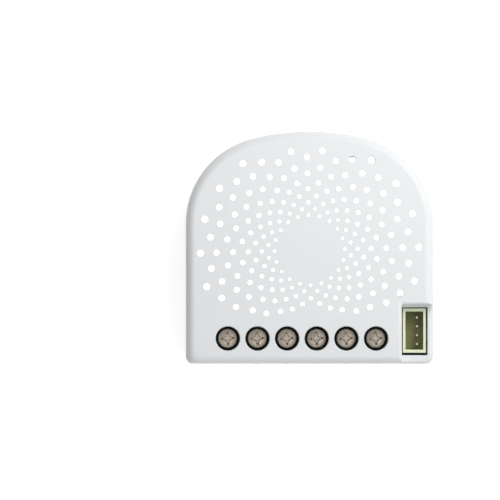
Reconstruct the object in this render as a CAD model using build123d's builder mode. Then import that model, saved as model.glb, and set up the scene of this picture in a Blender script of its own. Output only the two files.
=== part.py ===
"""Smart relay module: a small in-wall switching module with a row of six screw terminals.

The module lies on its back. X runs along the terminal row, Y from the terminal edge up to
the rounded crown, and Z from the back of the case to its perforated face. The origin is the
middle of the back. All lengths are in millimetres.
"""
from build123d import *
from math import atan2, cos, degrees, radians, sin, sqrt
import os

os.makedirs("parts", exist_ok=True)

# Case: the two moulded shells
case_width = 42.0
case_length = 39.5
case_depth = 20.6
rear_depth = 6.5
crown_radius = 39.6
shoulder_radius = 15.0
foot_radius = 1.2
inner_foot_radius = 0.5
wall = 1.2
face_wall = 1.4
floor_wall = 1.3
face_round = 1.5
face_round_steps = 2
back_round = 1.0
back_round_steps = 2
overrun = 1.0

# Lip and snap catches between the shells
lip_wall = 0.55
lip_height = 1.4
lip_gap = 0.05
catch_length = 4.0
catch_reach = 0.25
catch_height = 0.7
catch_gap = 0.1
catch_root = 0.2
catch_end_gap = 0.2
catch_low_share = -0.66
catch_high_share = 0.02

# Boards and the ribs and legs that hold them
rib_height = 1.5
rib_width = 1.4
rib_length = 18.0
rib_spacing = 24.0
main_board_thickness = 1.6
control_board_thickness = 0.8
board_spacing = 5.8
board_clearance = 0.3
leg_thickness = 1.1
leg_width = 3.0
leg_clearance = 0.15
left_leg_y = -12.6
right_leg_y = -4.5
crown_leg_x = -1.9

# Vent pattern in the face
vent_centre_y = -0.43
vent_phase = 1.6
vent_positions = 20
vent_first_radius = 5.93
vent_ring_steps = (0, 1.08, 1.08, 1.09, 1.18, 1.09, 1.48, 1.07, 1.69, 1.18, 1.55)
vent_ring_count = 11
vent_small = 0.62
vent_large = 1.18
vent_sides = 6
vent_gap_step = 30
vent_gap_first_ring = 4
crown_steps_left_out = (8, 10, 12)
led_place = (9, 7)
button_place = (10, 6)
led_hole = 1.24
button_hole = 1.40

# Guide boss under the face for the light pipe and the button pin
boss_width = 3.1
guide_hole_sides = 12
boss_share = 0.6176
pipe_gap = 0.03
pin_gap = 0.06
pipe_recess = 0.30
pin_recess = 0.35

# Terminal row
pole_count = 6
pole_pitch = 5.0
row_centre_x = -1.34
row_edge_distance = 4.4
access_hole = 4.1
access_hole_sides = 12
window_side_gap = 0.25
window_low_gap = 0.2
window_high_gap = 0.4

# Terminal housing
housing_setback = 0.4
housing_depth = 10.0
housing_end_wall = 0.67
housing_partition = 0.85
housing_front_wall = 0.6
housing_back_wall = 0.8
housing_low_height = 8.5
housing_top_gap = 0.3
tower_setback = 0.35
tower_depth = 5.7
tower_foot_share = 0.5556
shoulder_height = 9.1
top_bar = 0.9
foot_bar = 0.56
foot_height = 0.35
foot_width = 0.9
foot_slot = 1.83
chamber_headroom = 0.35
head_bore_gap = 0.25
shank_gap = 0.1
head_bore_sides = 10
polygon_bore_sides = 8

# Clamp cage and contact of each pole
cage_width = 3.55
cage_height = 6.05
cage_slide_gap = 0.1
cage_side = 0.5
cage_floor = 0.83
cage_roof = 0.94
cage_corner = 0.5
cage_lift_gap = 0.1
cage_travel_share = 0.4817
cage_contact_gap = 0.03
tongue_width = 2.33
tongue_thickness = 1.3
tongue_setback = 0.3
contact_pin_width = 1.0
contact_pin_depth = 0.8
contact_wall_gap = 0.15

# Terminal screw
screw_head_diameter = 3.5
screw_head_sides = 14
screw_head_height = 1.6
screw_head_chamfer = 0.22
screw_head_drop = 0.9
screw_seat_gap = 0.05
screw_shank_diameter = 2.5
screw_tip_gap = 0.03
recess_span = 2.2
recess_slot = 0.62
recess_depth = 0.9

# Stepped corner with the four-way pin header
step_left_x = 15.5
step_edge_length = 10.15
step_depth = 3.2
step_wall = 1.2
step_round = 0.7
step_edge_bevel = 0.45
header_width = 3.9
header_length = 7.5
header_centre_x = 17.675
header_edge_distance = 5.72
header_wall = 0.45
header_end_wall = 0.525
header_floor = 1.5
header_hole_left = 0.13
header_hole_right = 0.25
header_hole_top = 0.17
header_hole_foot = 0.34
header_slot = 1.2
header_slot_depth = 2.6
header_pin = 0.5
header_pin_pitch = 1.5
header_pin_count = 4
header_pin_shift = 0.45
header_pin_drop = 1.2
header_tail = 1.2

# Tails of the pins that are soldered through a board
pin_tail = 0.9
pin_hole_gap = 0.1

# Diffuser sheet under the face
sheet_thickness = 0.3
sheet_clearance = 0.3
sheet_hole_gap = 0.15
sheet_foot_gap = 1.0

# Relay on the main board
relay_length = 20.0
relay_width = 15.5
relay_height = 10.2
relay_wall = 0.6
relay_side_gap = 0.9
relay_back_gap = 1.1
relay_base_lift = 0.2
relay_base_thickness = 1.4
relay_base_gap = 0.05
yoke_thickness = 0.8
yoke_width = 6.0
yoke_gap = 0.2
yoke_foot_gap = 0.3
bobbin_length = 9.6
bobbin_flange = 0.7
bobbin_width = 7.4
bobbin_height = 6.6
bobbin_tube = 3.8
bobbin_base_gap = 0.1
bobbin_side_gap = 0.2
winding_diameter = 6.2
core_diameter = 2.7
core_gap = 0.05
coil_sides = 12
pole_reach = 0.2
armature_gap = 0.45
armature_hinge_gap = 0.03
armature_thickness = 0.8
armature_width = 6.4
armature_top = 0.6
armature_foot_gap = 1.0
carrier_thickness = 1.0
carrier_height = 2.0
carrier_end_gap = 0.6
carrier_start_share = 0.25
bridge_thickness = 0.5
bridge_height = 1.4
bridge_length = 5.0
rivet_diameter = 1.2
rivet_height = 0.4
rivet_spacing = 3.4
contact_gap = 0.5
fixed_strip_thickness = 0.6
fixed_strip_width = 1.8
fixed_strip_cover = 0.5
coil_pin = 0.6
coil_pin_inset = 1.0
coil_pin_spacing = 5.5

# Parts of the mains side, each given by the edge nearest its neighbour
capacitor_length = 10.0
capacitor_width = 4.0
capacitor_height = 8.0
capacitor_right_x = -0.5
part_spacing = 0.7
varistor_diameter = 7.0
varistor_thickness = 3.0
varistor_lift = 0.5
varistor_lead = 0.6
varistor_sides = 16
fuse_width = 4.0
fuse_height = 7.6
fuse_corner = 0.5
shunt_width = 2.4
shunt_length = 7.0
shunt_thickness = 0.5

# Parts of the low-voltage supply, under the control board
link_left_x = 2.2
link_width = 2.0
link_low_y = -7.4
link_pitch = 2.0
link_count = 4
link_pin = 0.5
link_body_height = 1.8
link_pin_reach = 0.6
bulk_diameter = 5.0
bulk_length = 9.0
bulk_low_y = -7.0
bulk_side_gap = 0.25
bulk_sides = 12
transformer_left_x = 5.2
transformer_low_y = 3.4
transformer_core_length = 8.4
transformer_core_width = 4.2
transformer_core_height = 5.2
transformer_leg = 1.7
transformer_yoke = 1.3
transformer_centre_leg = 2.0
bobbin_cheek = 0.6
bobbin_overhang = 2.0
transformer_gap = 0.1
rectifier_length = 4.7
rectifier_width = 3.8
rectifier_height = 2.4
rectifier_x = 16.2
rectifier_y = 5.2
supply_chip_length = 4.9
supply_chip_width = 3.0
supply_chip_height = 1.5
supply_chip_x = 8.0
supply_chip_y = 14.8

# Parts on the control board
control_left_x = 1.7
control_low_y = -8.0
control_inset = 1.6
control_tab_left_x = 14.4
radio_left_x = 5.0
radio_low_y = -5.6
radio_width = 12.0
radio_length = 15.0
radio_thickness = 0.8
can_width = 10.6
can_length = 9.6
can_height = 1.9
can_wall = 0.2
can_low_gap = 0.7
antenna_length = 9.0
antenna_reach = 3.2
antenna_track = 0.6
antenna_turns = 2
antenna_thickness = 0.15
antenna_gap = 0.7
micro_size = 3.8
micro_height = 0.85
micro_x = 6.2
micro_y = 11.9
crystal_length = 3.2
crystal_width = 2.5
crystal_height = 0.8
crystal_x = 11.3
crystal_y = 11.4
led_length = 1.6
led_width = 0.8
led_height = 0.6
pipe_air_gap = 0.3
switch_length = 2.6
switch_width = 1.6
switch_height = 1.0
plunger_size = 0.9
plunger_rise = 0.4
plunger_hidden = 0.25
plunger_gap = 0.05
plunger_well = 0.65
button_flange_diameter = 2.3
button_flange_height = 0.8
button_stop_gap = 0.02
chip_length = 1.2
chip_width = 0.7
chip_height = 0.5
chip_count = 6
chip_pitch = 1.8
chip_first_x = 6.2
chip_y = -6.9

# Levels and places that follow from the sizes above
half_width = case_width / 2
half_length = case_length / 2
main_bottom = floor_wall + rib_height
main_top = main_bottom + main_board_thickness
control_bottom = main_top + board_spacing
control_top = control_bottom + control_board_thickness
plunger_top = control_top + switch_height + plunger_rise
face_under = case_depth - face_wall
boss_height = boss_share * (face_under - plunger_top)
sheet_bottom = face_under - sheet_thickness
row_y = -half_length + row_edge_distance
pole_xs = [row_centre_x + pole_pitch * (i - (pole_count - 1) / 2) for i in range(pole_count)]
step_floor = case_depth - step_depth
step_top_y = -half_length + step_edge_length
tail_bottom = main_bottom - pin_tail


def case_outline(height, inset, foot):
    """The case outline at a height: a shallow crown, two shoulders, straight sides."""
    half = half_width - inset
    crown = crown_radius - inset
    shoulder = shoulder_radius - inset
    crown_y = half_length - crown_radius
    shoulder_x = half_width - shoulder_radius
    shoulder_y = crown_y + sqrt((crown_radius - shoulder_radius) ** 2 - shoulder_x ** 2)
    lean = degrees(atan2(shoulder_x, shoulder_y - crown_y))
    foot_y = -half_length + inset
    with BuildSketch(Plane.XY.offset(height)) as outline:
        with BuildLine():
            CenterArc((0, crown_y), crown, 90 - lean, 2 * lean)
            right = CenterArc((shoulder_x, shoulder_y), shoulder, 0, 90 - lean)
            left = CenterArc((-shoulder_x, shoulder_y), shoulder, 90 + lean, 90 - lean)
            Polyline(left @ 1, (-half, foot_y), (half, foot_y), right @ 0)
        make_face()
        fillet(outline.vertices().group_by(Axis.Y)[0], foot)
    return outline.sketch


def edge_sections(level, radius, steps, way):
    """Outlines that step round an outer edge, from the wall up or down to a flat face."""
    turns = [90 * i / steps for i in range(steps + 1)]
    return [
        case_outline(level - way * radius * (1 - sin(radians(turn))),
                     radius * (1 - cos(radians(turn))), foot_radius)
        for turn in turns
    ]


def board_outline(height, inset):
    """A straight-sided board that fits the case: its corners lie on the inset outline."""
    half = half_width - inset
    crown_y = half_length - crown_radius
    shoulder_x = half_width - shoulder_radius
    shoulder_y = crown_y + sqrt((crown_radius - shoulder_radius) ** 2 - shoulder_x ** 2)
    sweep = atan2(shoulder_y - crown_y, shoulder_x)
    corners = [(half, -half_length + inset)]
    for turn in (0, sweep / 2, sweep):
        corners.append((shoulder_x + (shoulder_radius - inset) * cos(turn),
                        shoulder_y + (shoulder_radius - inset) * sin(turn)))
    mirrored = [(-x, y) for x, y in reversed(corners)]
    with BuildSketch(Plane.XY.offset(height)) as outline:
        with BuildLine():
            Polyline(*corners, (0, half_length - inset), *mirrored, close=True)
        make_face()
    return outline.sketch


def pad(left, right, low, high, height):
    """A rectangle between four edges, lying at a height."""
    with BuildSketch(Plane.XY.offset(height)) as area:
        with Locations(((left + right) / 2, (low + high) / 2)):
            Rectangle(right - left, high - low)
    return area.sketch


def pin_areas(places, across, along, height):
    """Equal rectangles centred on a list of places, lying at a height."""
    with BuildSketch(Plane.XY.offset(height)) as areas:
        with Locations(*places):
            Rectangle(across, along)
    return areas.sketch


def vent_radius(ring):
    """Radius of a ring of vents."""
    return vent_first_radius + sum(vent_ring_steps[:ring + 1])


def vent_point(ring, step):
    """Centre of the vent that stands a number of half positions round a ring."""
    angle = radians(vent_phase + step * 180 / vent_positions)
    return (vent_radius(ring) * cos(angle), vent_centre_y + vent_radius(ring) * sin(angle))


def vent_steps(ring):
    """Steps round a ring that carry a vent, with the gap over the terminal row left out."""
    steps = range(ring % 2, 2 * vent_positions, 2)
    kept = [k for k in steps if abs(k - vent_gap_step) > ring - vent_gap_first_ring]
    if ring == vent_ring_count - 1:
        kept = [k for k in kept if k not in crown_steps_left_out]
    return [k for k in kept if (ring, k) not in (led_place, button_place)]


led_x, led_y = vent_point(*led_place)
button_x, button_y = vent_point(*button_place)

# Legs that hold the main board down: left side, right side, crown
leg_outer = wall + leg_clearance
leg_inner = leg_outer + leg_thickness
leg_areas = [
    (-half_width + leg_outer, -half_width + leg_inner, left_leg_y, left_leg_y + leg_width),
    (half_width - leg_inner, half_width - leg_outer, right_leg_y, right_leg_y + leg_width),
    (crown_leg_x, crown_leg_x + leg_width,
     half_length - leg_inner - leg_thickness, half_length - leg_inner),
]

# Terminal housing levels
housing_left = pole_xs[0] - pole_pitch / 2 + housing_partition / 2 - housing_end_wall
housing_right = pole_xs[-1] + pole_pitch / 2 - housing_partition / 2 + housing_end_wall
housing_front_y = -half_length + housing_setback
housing_back_y = housing_front_y + housing_depth
housing_low_top = main_top + housing_low_height
housing_top = face_under - housing_top_gap
shoulder_z = main_top + shoulder_height
tower_foot = shoulder_z + tower_foot_share * (housing_top - shoulder_z)
tower_front_y = -half_length + wall + tower_setback
tower_back_y = tower_front_y + tower_depth
chamber_front_y = tower_front_y + housing_front_wall
chamber_back_y = tower_back_y - housing_back_wall
cage_length = 2 * (min(row_y - chamber_front_y, chamber_back_y - row_y) - cage_slide_gap)
opening_low = main_top + foot_height + foot_bar
opening_high = housing_low_top - top_bar
opening_width = pole_pitch - housing_partition
cage_bottom = opening_low + cage_lift_gap
cage_top = cage_bottom + cage_height
screw_top = face_under - screw_head_drop
screw_under = screw_top - screw_head_height
seat_top = screw_under - screw_seat_gap
cage_travel = cage_travel_share * (seat_top - cage_top)
chamber_top = cage_top + cage_travel + chamber_headroom
tongue_top = cage_top - cage_roof - cage_contact_gap
tongue_bottom = tongue_top - tongue_thickness
contact_back_y = housing_back_y - housing_back_wall - contact_wall_gap
contact_pin_y = contact_back_y - contact_pin_depth / 2
window_left = housing_left - window_side_gap
window_right = housing_right + window_side_gap
window_low = main_top - window_low_gap
window_high = housing_low_top + window_high_gap

# Header places
header_y = -half_length + header_edge_distance
header_left = header_centre_x - header_width / 2
header_right = header_centre_x + header_width / 2
header_low_y = header_y - header_length / 2
header_high_y = header_y + header_length / 2
header_pin_x = header_centre_x + header_pin_shift
header_pin_places = [
    (header_pin_x, header_y + header_pin_pitch * (i - (header_pin_count - 1) / 2))
    for i in range(header_pin_count)
]

# Relay places
relay_left = -half_width + wall + relay_side_gap
relay_right = relay_left + relay_length
relay_low_y = housing_back_y + relay_back_gap
relay_high_y = relay_low_y + relay_width
relay_top = main_top + relay_height
base_low = main_top + relay_base_lift
base_high = base_low + relay_base_thickness
yoke_left = relay_left + relay_wall + yoke_gap
bobbin_left = yoke_left + yoke_thickness
bobbin_right = bobbin_left + bobbin_length
pole_x = bobbin_right + pole_reach
coil_y = relay_low_y + relay_wall + bobbin_side_gap + bobbin_width / 2
bobbin_low = base_high + bobbin_base_gap
coil_z = bobbin_low + bobbin_height / 2
yoke_low = bobbin_low + bobbin_height
yoke_high = yoke_low + yoke_thickness
armature_x = pole_x + armature_gap
yoke_end = armature_x - armature_hinge_gap
armature_low = base_high + armature_foot_gap
armature_high = yoke_low + armature_top
carrier_x = armature_x + armature_thickness
contact_low_y = coil_y + bobbin_width / 2
contact_high_y = relay_high_y - relay_wall
contact_y = (contact_low_y + contact_high_y) / 2
contact_z = armature_low + carrier_height / 2
bridge_x = carrier_x - bridge_thickness
rivet_face = bridge_x - rivet_height
fixed_face = rivet_face - contact_gap
fixed_strip_x = fixed_face - rivet_height - fixed_strip_thickness / 2
rivet_ys = (contact_y - rivet_spacing / 2, contact_y + rivet_spacing / 2)
fixed_places = [(fixed_strip_x, y) for y in rivet_ys]
coil_pin_x = bobbin_left + coil_pin_inset
coil_pin_places = [
    (coil_pin_x, coil_y - coil_pin_spacing / 2),
    (coil_pin_x, coil_y + coil_pin_spacing / 2),
]

# Board link places
link_x = link_left_x + link_width / 2
link_places = [(link_x, link_low_y + link_pitch * (i + 1 / 2)) for i in range(link_count)]
link_high_y = link_low_y + link_pitch * link_count


# Front cover: the perforated shell, open at its back and at the terminal window
with BuildPart() as front_cover:
    loft(sections=[case_outline(rear_depth, 0, foot_radius),
                   *edge_sections(case_depth, face_round, face_round_steps, 1)],
         ruled=True)
    extrude(case_outline(rear_depth, wall, inner_foot_radius),
            amount=face_under - rear_depth, mode=Mode.SUBTRACT)
    # Rebate that takes the lip of the rear cover
    extrude(case_outline(rear_depth, wall - lip_wall - lip_gap, inner_foot_radius),
            amount=lip_height + lip_gap, mode=Mode.SUBTRACT)
    for side in (-1, 1):
        for share in (catch_low_share, catch_high_share):
            with BuildSketch(Plane.XZ.offset(-share * half_length)) as catch_pocket:
                with BuildLine():
                    pocket_root = half_width - wall
                    pocket_tip = half_width - wall + lip_wall + catch_reach + catch_gap
                    pocket_low = rear_depth + lip_height / 2 - catch_height / 2 - catch_gap
                    pocket_high = rear_depth + lip_height / 2 + catch_height / 2 + catch_gap
                    Polyline((side * pocket_root, pocket_low), (side * pocket_tip, pocket_low),
                             (side * pocket_tip, pocket_high), (side * pocket_root, pocket_high),
                             close=True)
                make_face()
            extrude(amount=catch_length / 2 + catch_end_gap, both=True, mode=Mode.SUBTRACT)
    # Floor and inner walls of the stepped corner, then the step itself
    extrude(pad(step_left_x - step_wall, half_width - wall / 2,
                -half_length + wall / 2, step_top_y + step_wall, step_floor - step_wall),
            amount=face_under - step_floor + step_wall)
    extrude(pad(step_left_x, half_width + overrun,
                -half_length - overrun, step_top_y, step_floor),
            amount=step_depth + overrun, mode=Mode.SUBTRACT)
    rim = front_cover.edges().filter_by(GeomType.LINE).group_by(Axis.Z)[-1]
    step_rim = [edge for edge in rim if edge.center().X > step_left_x - step_wall / 2
                and edge.center().Y < step_top_y + step_wall / 2]
    fillet(step_rim, step_round)
    floor_edges = front_cover.faces().filter_by(Axis.Z).filter_by(
        lambda face: abs(face.center().Z - step_floor) < catch_gap
        and face.center().X > step_left_x).edges()
    outer_edges = [edge for edge in floor_edges if edge.center().X > half_width - face_round
                   or edge.center().Y < -half_length + face_round]
    chamfer(outer_edges, step_edge_bevel)
    # Guide boss and board legs under the face
    with BuildSketch(Plane.XY.offset(face_under)) as boss:
        with Locations(((led_x + button_x) / 2, (led_y + button_y) / 2)):
            Rectangle(boss_width + button_x - led_x, boss_width)
    extrude(amount=-boss_height)
    for left, right, low, high in leg_areas:
        extrude(pad(left, right, low, high, main_top), amount=face_under - main_top)
    # Opening for the header, screw access holes, light pipe and button holes
    extrude(pad(header_left - header_hole_left, header_right + header_hole_right,
                header_low_y - header_hole_foot, header_high_y + header_hole_top,
                step_floor - step_wall),
            amount=step_wall + overrun, mode=Mode.SUBTRACT)
    with BuildSketch(Plane.XY.offset(face_under)) as access_holes:
        with Locations(*[(x, row_y) for x in pole_xs]):
            RegularPolygon(access_hole / 2, access_hole_sides)
    extrude(amount=face_wall + overrun, mode=Mode.SUBTRACT)
    with BuildSketch(Plane.XY.offset(face_under - boss_height)) as guide_holes:
        with Locations((led_x, led_y)):
            RegularPolygon(led_hole / 2, guide_hole_sides, major_radius=False)
        with Locations((button_x, button_y)):
            RegularPolygon(button_hole / 2, guide_hole_sides, major_radius=False)
    extrude(amount=boss_height + face_wall + overrun, mode=Mode.SUBTRACT)
    # Terminal window
    with BuildSketch(Plane.XZ.offset(half_length + overrun)) as window:
        with Locations(((window_left + window_right) / 2, (rear_depth + window_high) / 2)):
            Rectangle(window_right - window_left, window_high - rear_depth)
    extrude(amount=-wall - overrun, mode=Mode.SUBTRACT)
    # Vents, in rings that widen outwards
    with BuildSketch(Plane.XY.offset(face_under)) as vents:
        for ring in range(vent_ring_count):
            share = ring / (vent_ring_count - 1)
            vent_diameter = vent_small + (vent_large - vent_small) * share
            with Locations(*[vent_point(ring, step) for step in vent_steps(ring)]):
                RegularPolygon(vent_diameter / 2, vent_sides)
    extrude(amount=face_wall + overrun, mode=Mode.SUBTRACT)

front_cover.part.label = "front_cover"
export_step(front_cover.part, "parts/front_cover.step")

# Rear cover: a shallow tray with a lip, catches and two board ribs
with BuildPart() as rear_cover:
    loft(sections=[case_outline(rear_depth, 0, foot_radius),
                   *edge_sections(0, back_round, back_round_steps, -1)],
         ruled=True)
    extrude(case_outline(rear_depth, wall - lip_wall, inner_foot_radius), amount=lip_height)
    for side in (-1, 1):
        for share in (catch_low_share, catch_high_share):
            with BuildSketch(Plane.XZ.offset(-share * half_length)) as catch:
                with BuildLine():
                    catch_base = half_width - wall + lip_wall - catch_root
                    catch_tip = half_width - wall + lip_wall + catch_reach
                    catch_mid = rear_depth + lip_height / 2
                    Polyline((side * catch_base, catch_mid - catch_height / 2),
                             (side * catch_tip, catch_mid),
                             (side * catch_base, catch_mid + catch_height / 2), close=True)
                make_face()
            extrude(amount=catch_length / 2, both=True)
    extrude(case_outline(floor_wall, wall, inner_foot_radius),
            amount=rear_depth - floor_wall + lip_height + overrun, mode=Mode.SUBTRACT)
    with BuildSketch(Plane.XY.offset(floor_wall)) as ribs:
        with GridLocations(rib_spacing, 0, 2, 1):
            Rectangle(rib_width, rib_length)
    extrude(amount=rib_height)
    with BuildSketch(Plane.XZ.offset(half_length + overrun)) as rear_window:
        with Locations(((window_left + window_right) / 2,
                        (window_low + rear_depth + lip_height + overrun) / 2)):
            Rectangle(window_right - window_left,
                      rear_depth + lip_height + overrun - window_low)
    extrude(amount=-wall - overrun - lip_gap, mode=Mode.SUBTRACT)

rear_cover.part.label = "rear_cover"
export_step(rear_cover.part, "parts/rear_cover.step")

# Main board, with a hole for every pin that is soldered through it
contact_pin_places = [(x, contact_pin_y) for x in pole_xs]
with BuildPart() as main_board:
    extrude(board_outline(main_bottom, wall + board_clearance), amount=main_board_thickness)
    extrude(pin_areas(contact_pin_places, contact_pin_width + pin_hole_gap,
                      contact_pin_depth + pin_hole_gap, main_bottom),
            amount=main_board_thickness, mode=Mode.SUBTRACT)
    extrude(pin_areas(fixed_places, fixed_strip_thickness + pin_hole_gap,
                      fixed_strip_width + pin_hole_gap, main_bottom),
            amount=main_board_thickness, mode=Mode.SUBTRACT)
    extrude(pin_areas(coil_pin_places, coil_pin + pin_hole_gap,
                      coil_pin + pin_hole_gap, main_bottom),
            amount=main_board_thickness, mode=Mode.SUBTRACT)
    extrude(pin_areas(link_places, link_pin + pin_hole_gap,
                      link_pin + pin_hole_gap, main_bottom),
            amount=main_board_thickness, mode=Mode.SUBTRACT)

main_board.part.label = "main_board"
export_step(main_board.part, "parts/main_board.step")

# Terminal housing: six chambers behind one front, with a tower that guides the screws
with BuildPart() as terminal_housing:
    with BuildSketch(Plane.YZ.offset(housing_left)) as housing_side:
        with BuildLine():
            Polyline((housing_front_y, main_top), (housing_front_y, housing_low_top),
                     (tower_front_y, housing_low_top), (tower_front_y, housing_top),
                     (tower_back_y, housing_top), (tower_back_y, tower_foot),
                     (housing_back_y, shoulder_z), (housing_back_y, main_top),
                     close=True)
        make_face()
    extrude(amount=housing_right - housing_left)
    # Chamber of each pole, open below, and the opening in its front wall
    for x in pole_xs:
        extrude(pad(x - opening_width / 2, x + opening_width / 2,
                    housing_front_y + housing_front_wall, housing_back_y - housing_back_wall,
                    main_top),
                amount=opening_high - main_top, mode=Mode.SUBTRACT)
        extrude(pad(x - opening_width / 2, x + opening_width / 2,
                    chamber_front_y, chamber_back_y,
                    opening_high),
                amount=chamber_top - opening_high, mode=Mode.SUBTRACT)
        extrude(pad(x - opening_width / 2, x + opening_width / 2,
                    housing_front_y - overrun, housing_front_y + housing_front_wall,
                    opening_low),
                amount=opening_high - opening_low, mode=Mode.SUBTRACT)
        extrude(pad(x - foot_slot / 2, x + foot_slot / 2,
                    housing_front_y - overrun, housing_front_y + housing_front_wall,
                    main_top),
                amount=opening_low - main_top, mode=Mode.SUBTRACT)
        extrude(pad(x - (pole_pitch - foot_width) / 2, x + (pole_pitch - foot_width) / 2,
                    housing_front_y - overrun, housing_back_y - housing_back_wall,
                    main_top),
                amount=foot_height, mode=Mode.SUBTRACT)
    # Bore for each screw head, and the hole its shank passes through
    with BuildSketch(Plane.XY.offset(seat_top)) as head_bores:
        with Locations(*[(x, row_y) for x in pole_xs]):
            RegularPolygon(screw_head_diameter / 2 + head_bore_gap, head_bore_sides,
                           major_radius=False)
    extrude(amount=housing_top - seat_top, mode=Mode.SUBTRACT)
    with BuildSketch(Plane.XY.offset(chamber_top)) as shank_holes:
        with Locations(*[(x, row_y) for x in pole_xs]):
            RegularPolygon(screw_shank_diameter / 2 + shank_gap, polygon_bore_sides,
                           major_radius=False)
    extrude(amount=seat_top - chamber_top, mode=Mode.SUBTRACT)

terminal_housing.part.label = "terminal_housing"
export_step(terminal_housing.part, "parts/terminal_housing.step")

# Each pole's rising cage: a bent frame, open front and back, that the screw pulls up
for number, x in enumerate(pole_xs, start=1):
    with BuildPart() as clamp_cage:
        with BuildSketch(Plane.XZ.offset(-row_y - cage_length / 2)) as cage_section:
            with Locations((x, cage_bottom + cage_height / 2)):
                Rectangle(cage_width, cage_height)
            chamfer(cage_section.vertices().group_by(Axis.Z)[0], cage_corner)
            with Locations((x, cage_bottom + (cage_floor + cage_height - cage_roof) / 2)):
                Rectangle(cage_width - 2 * cage_side, cage_height - cage_floor - cage_roof,
                          mode=Mode.SUBTRACT)
        extrude(amount=cage_length)
        with BuildSketch(Plane.XY.offset(cage_top - cage_roof)) as thread_hole:
            with Locations((x, row_y)):
                RegularPolygon(screw_shank_diameter / 2 + shank_gap, polygon_bore_sides,
                               major_radius=False)
        extrude(amount=cage_roof, mode=Mode.SUBTRACT)
    clamp_cage.part.label = f"clamp_cage_{number}"
    export_step(clamp_cage.part, f"parts/clamp_cage_{number}.step")

# Fixed contact of each pole: a tongue through the cage, and a pin down through the board
with BuildPart() as terminal_contacts:
    for x in pole_xs:
        tongue_front = row_y - cage_length / 2 + tongue_setback
        extrude(pad(x - tongue_width / 2, x + tongue_width / 2,
                    tongue_front, contact_back_y, tongue_bottom),
                amount=tongue_thickness)
        extrude(pad(x - contact_pin_width / 2, x + contact_pin_width / 2,
                    contact_back_y - contact_pin_depth, contact_back_y, tail_bottom),
                amount=tongue_bottom - tail_bottom)

terminal_contacts.part.label = "terminal_contacts"
export_step(terminal_contacts.part, "parts/terminal_contacts.step")

# Terminal screws: a cheese head with a cross recess over a plain shank
for number, x in enumerate(pole_xs, start=1):
    with BuildPart() as terminal_screw:
        with BuildSketch(Plane.XY.offset(screw_under)) as head:
            with Locations((x, row_y)):
                RegularPolygon(screw_head_diameter / 2, screw_head_sides)
        extrude(amount=screw_head_height)
        chamfer(terminal_screw.edges().group_by(Axis.Z)[-1], screw_head_chamfer)
        with BuildSketch(Plane.XY.offset(tongue_top + screw_tip_gap)) as shank:
            with Locations((x, row_y)):
                Circle(screw_shank_diameter / 2)
        extrude(amount=screw_under - tongue_top - screw_tip_gap)
        with BuildSketch(Plane.XY.offset(screw_top - recess_depth)) as recess:
            with Locations((x, row_y)):
                Rectangle(recess_span, recess_slot)
                Rectangle(recess_slot, recess_span)
        extrude(amount=recess_depth + overrun, mode=Mode.SUBTRACT)
    terminal_screw.part.label = f"terminal_screw_{number}"
    export_step(terminal_screw.part, f"parts/terminal_screw_{number}.step")

# Control board: fills the right side, with a tab beside the terminals for the header
with BuildPart() as control_board:
    extrude(board_outline(control_bottom, control_inset), amount=control_board_thickness)
    extrude(pad(-half_width, control_left_x, -half_length, half_length, control_bottom),
            amount=control_board_thickness, mode=Mode.SUBTRACT)
    extrude(pad(control_left_x - overrun, control_tab_left_x, -half_length, control_low_y,
                control_bottom),
            amount=control_board_thickness, mode=Mode.SUBTRACT)
    extrude(pad(half_width - leg_inner - board_clearance, half_width,
                right_leg_y - board_clearance, right_leg_y + leg_width + board_clearance,
                control_bottom),
            amount=control_board_thickness, mode=Mode.SUBTRACT)
    extrude(pin_areas(header_pin_places, header_pin + pin_hole_gap,
                      header_pin + pin_hole_gap, control_bottom),
            amount=control_board_thickness, mode=Mode.SUBTRACT)
    extrude(pin_areas(link_places, link_pin + pin_hole_gap,
                      link_pin + pin_hole_gap, control_bottom),
            amount=control_board_thickness, mode=Mode.SUBTRACT)

control_board.part.label = "control_board"
export_step(control_board.part, "parts/control_board.step")

# Header: an open shroud with two keying slots, and four square pins
with BuildPart() as header_shell:
    extrude(pad(header_left, header_right, header_low_y, header_high_y, control_top),
            amount=step_floor - control_top)
    extrude(pad(header_left + header_wall, header_right - header_wall,
                header_low_y + header_end_wall, header_high_y - header_end_wall,
                control_top + header_floor),
            amount=step_floor - control_top - header_floor, mode=Mode.SUBTRACT)
    slot_places = [(header_left, y) for y in (header_y - header_length / 4,
                                              header_y + header_length / 4)]
    extrude(pin_areas(slot_places, 2 * header_wall, header_slot,
                      step_floor - step_wall - header_slot_depth),
            amount=header_slot_depth, mode=Mode.SUBTRACT)
    extrude(pin_areas(header_pin_places, header_pin, header_pin, control_top),
            amount=header_floor, mode=Mode.SUBTRACT)

header_shell.part.label = "header_shell"
export_step(header_shell.part, "parts/header_shell.step")

with BuildPart() as header_pins:
    extrude(pin_areas(header_pin_places, header_pin, header_pin, control_bottom - header_tail),
            amount=step_floor - header_pin_drop - control_bottom + header_tail)

header_pins.part.label = "header_pins"
export_step(header_pins.part, "parts/header_pins.step")

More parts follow.
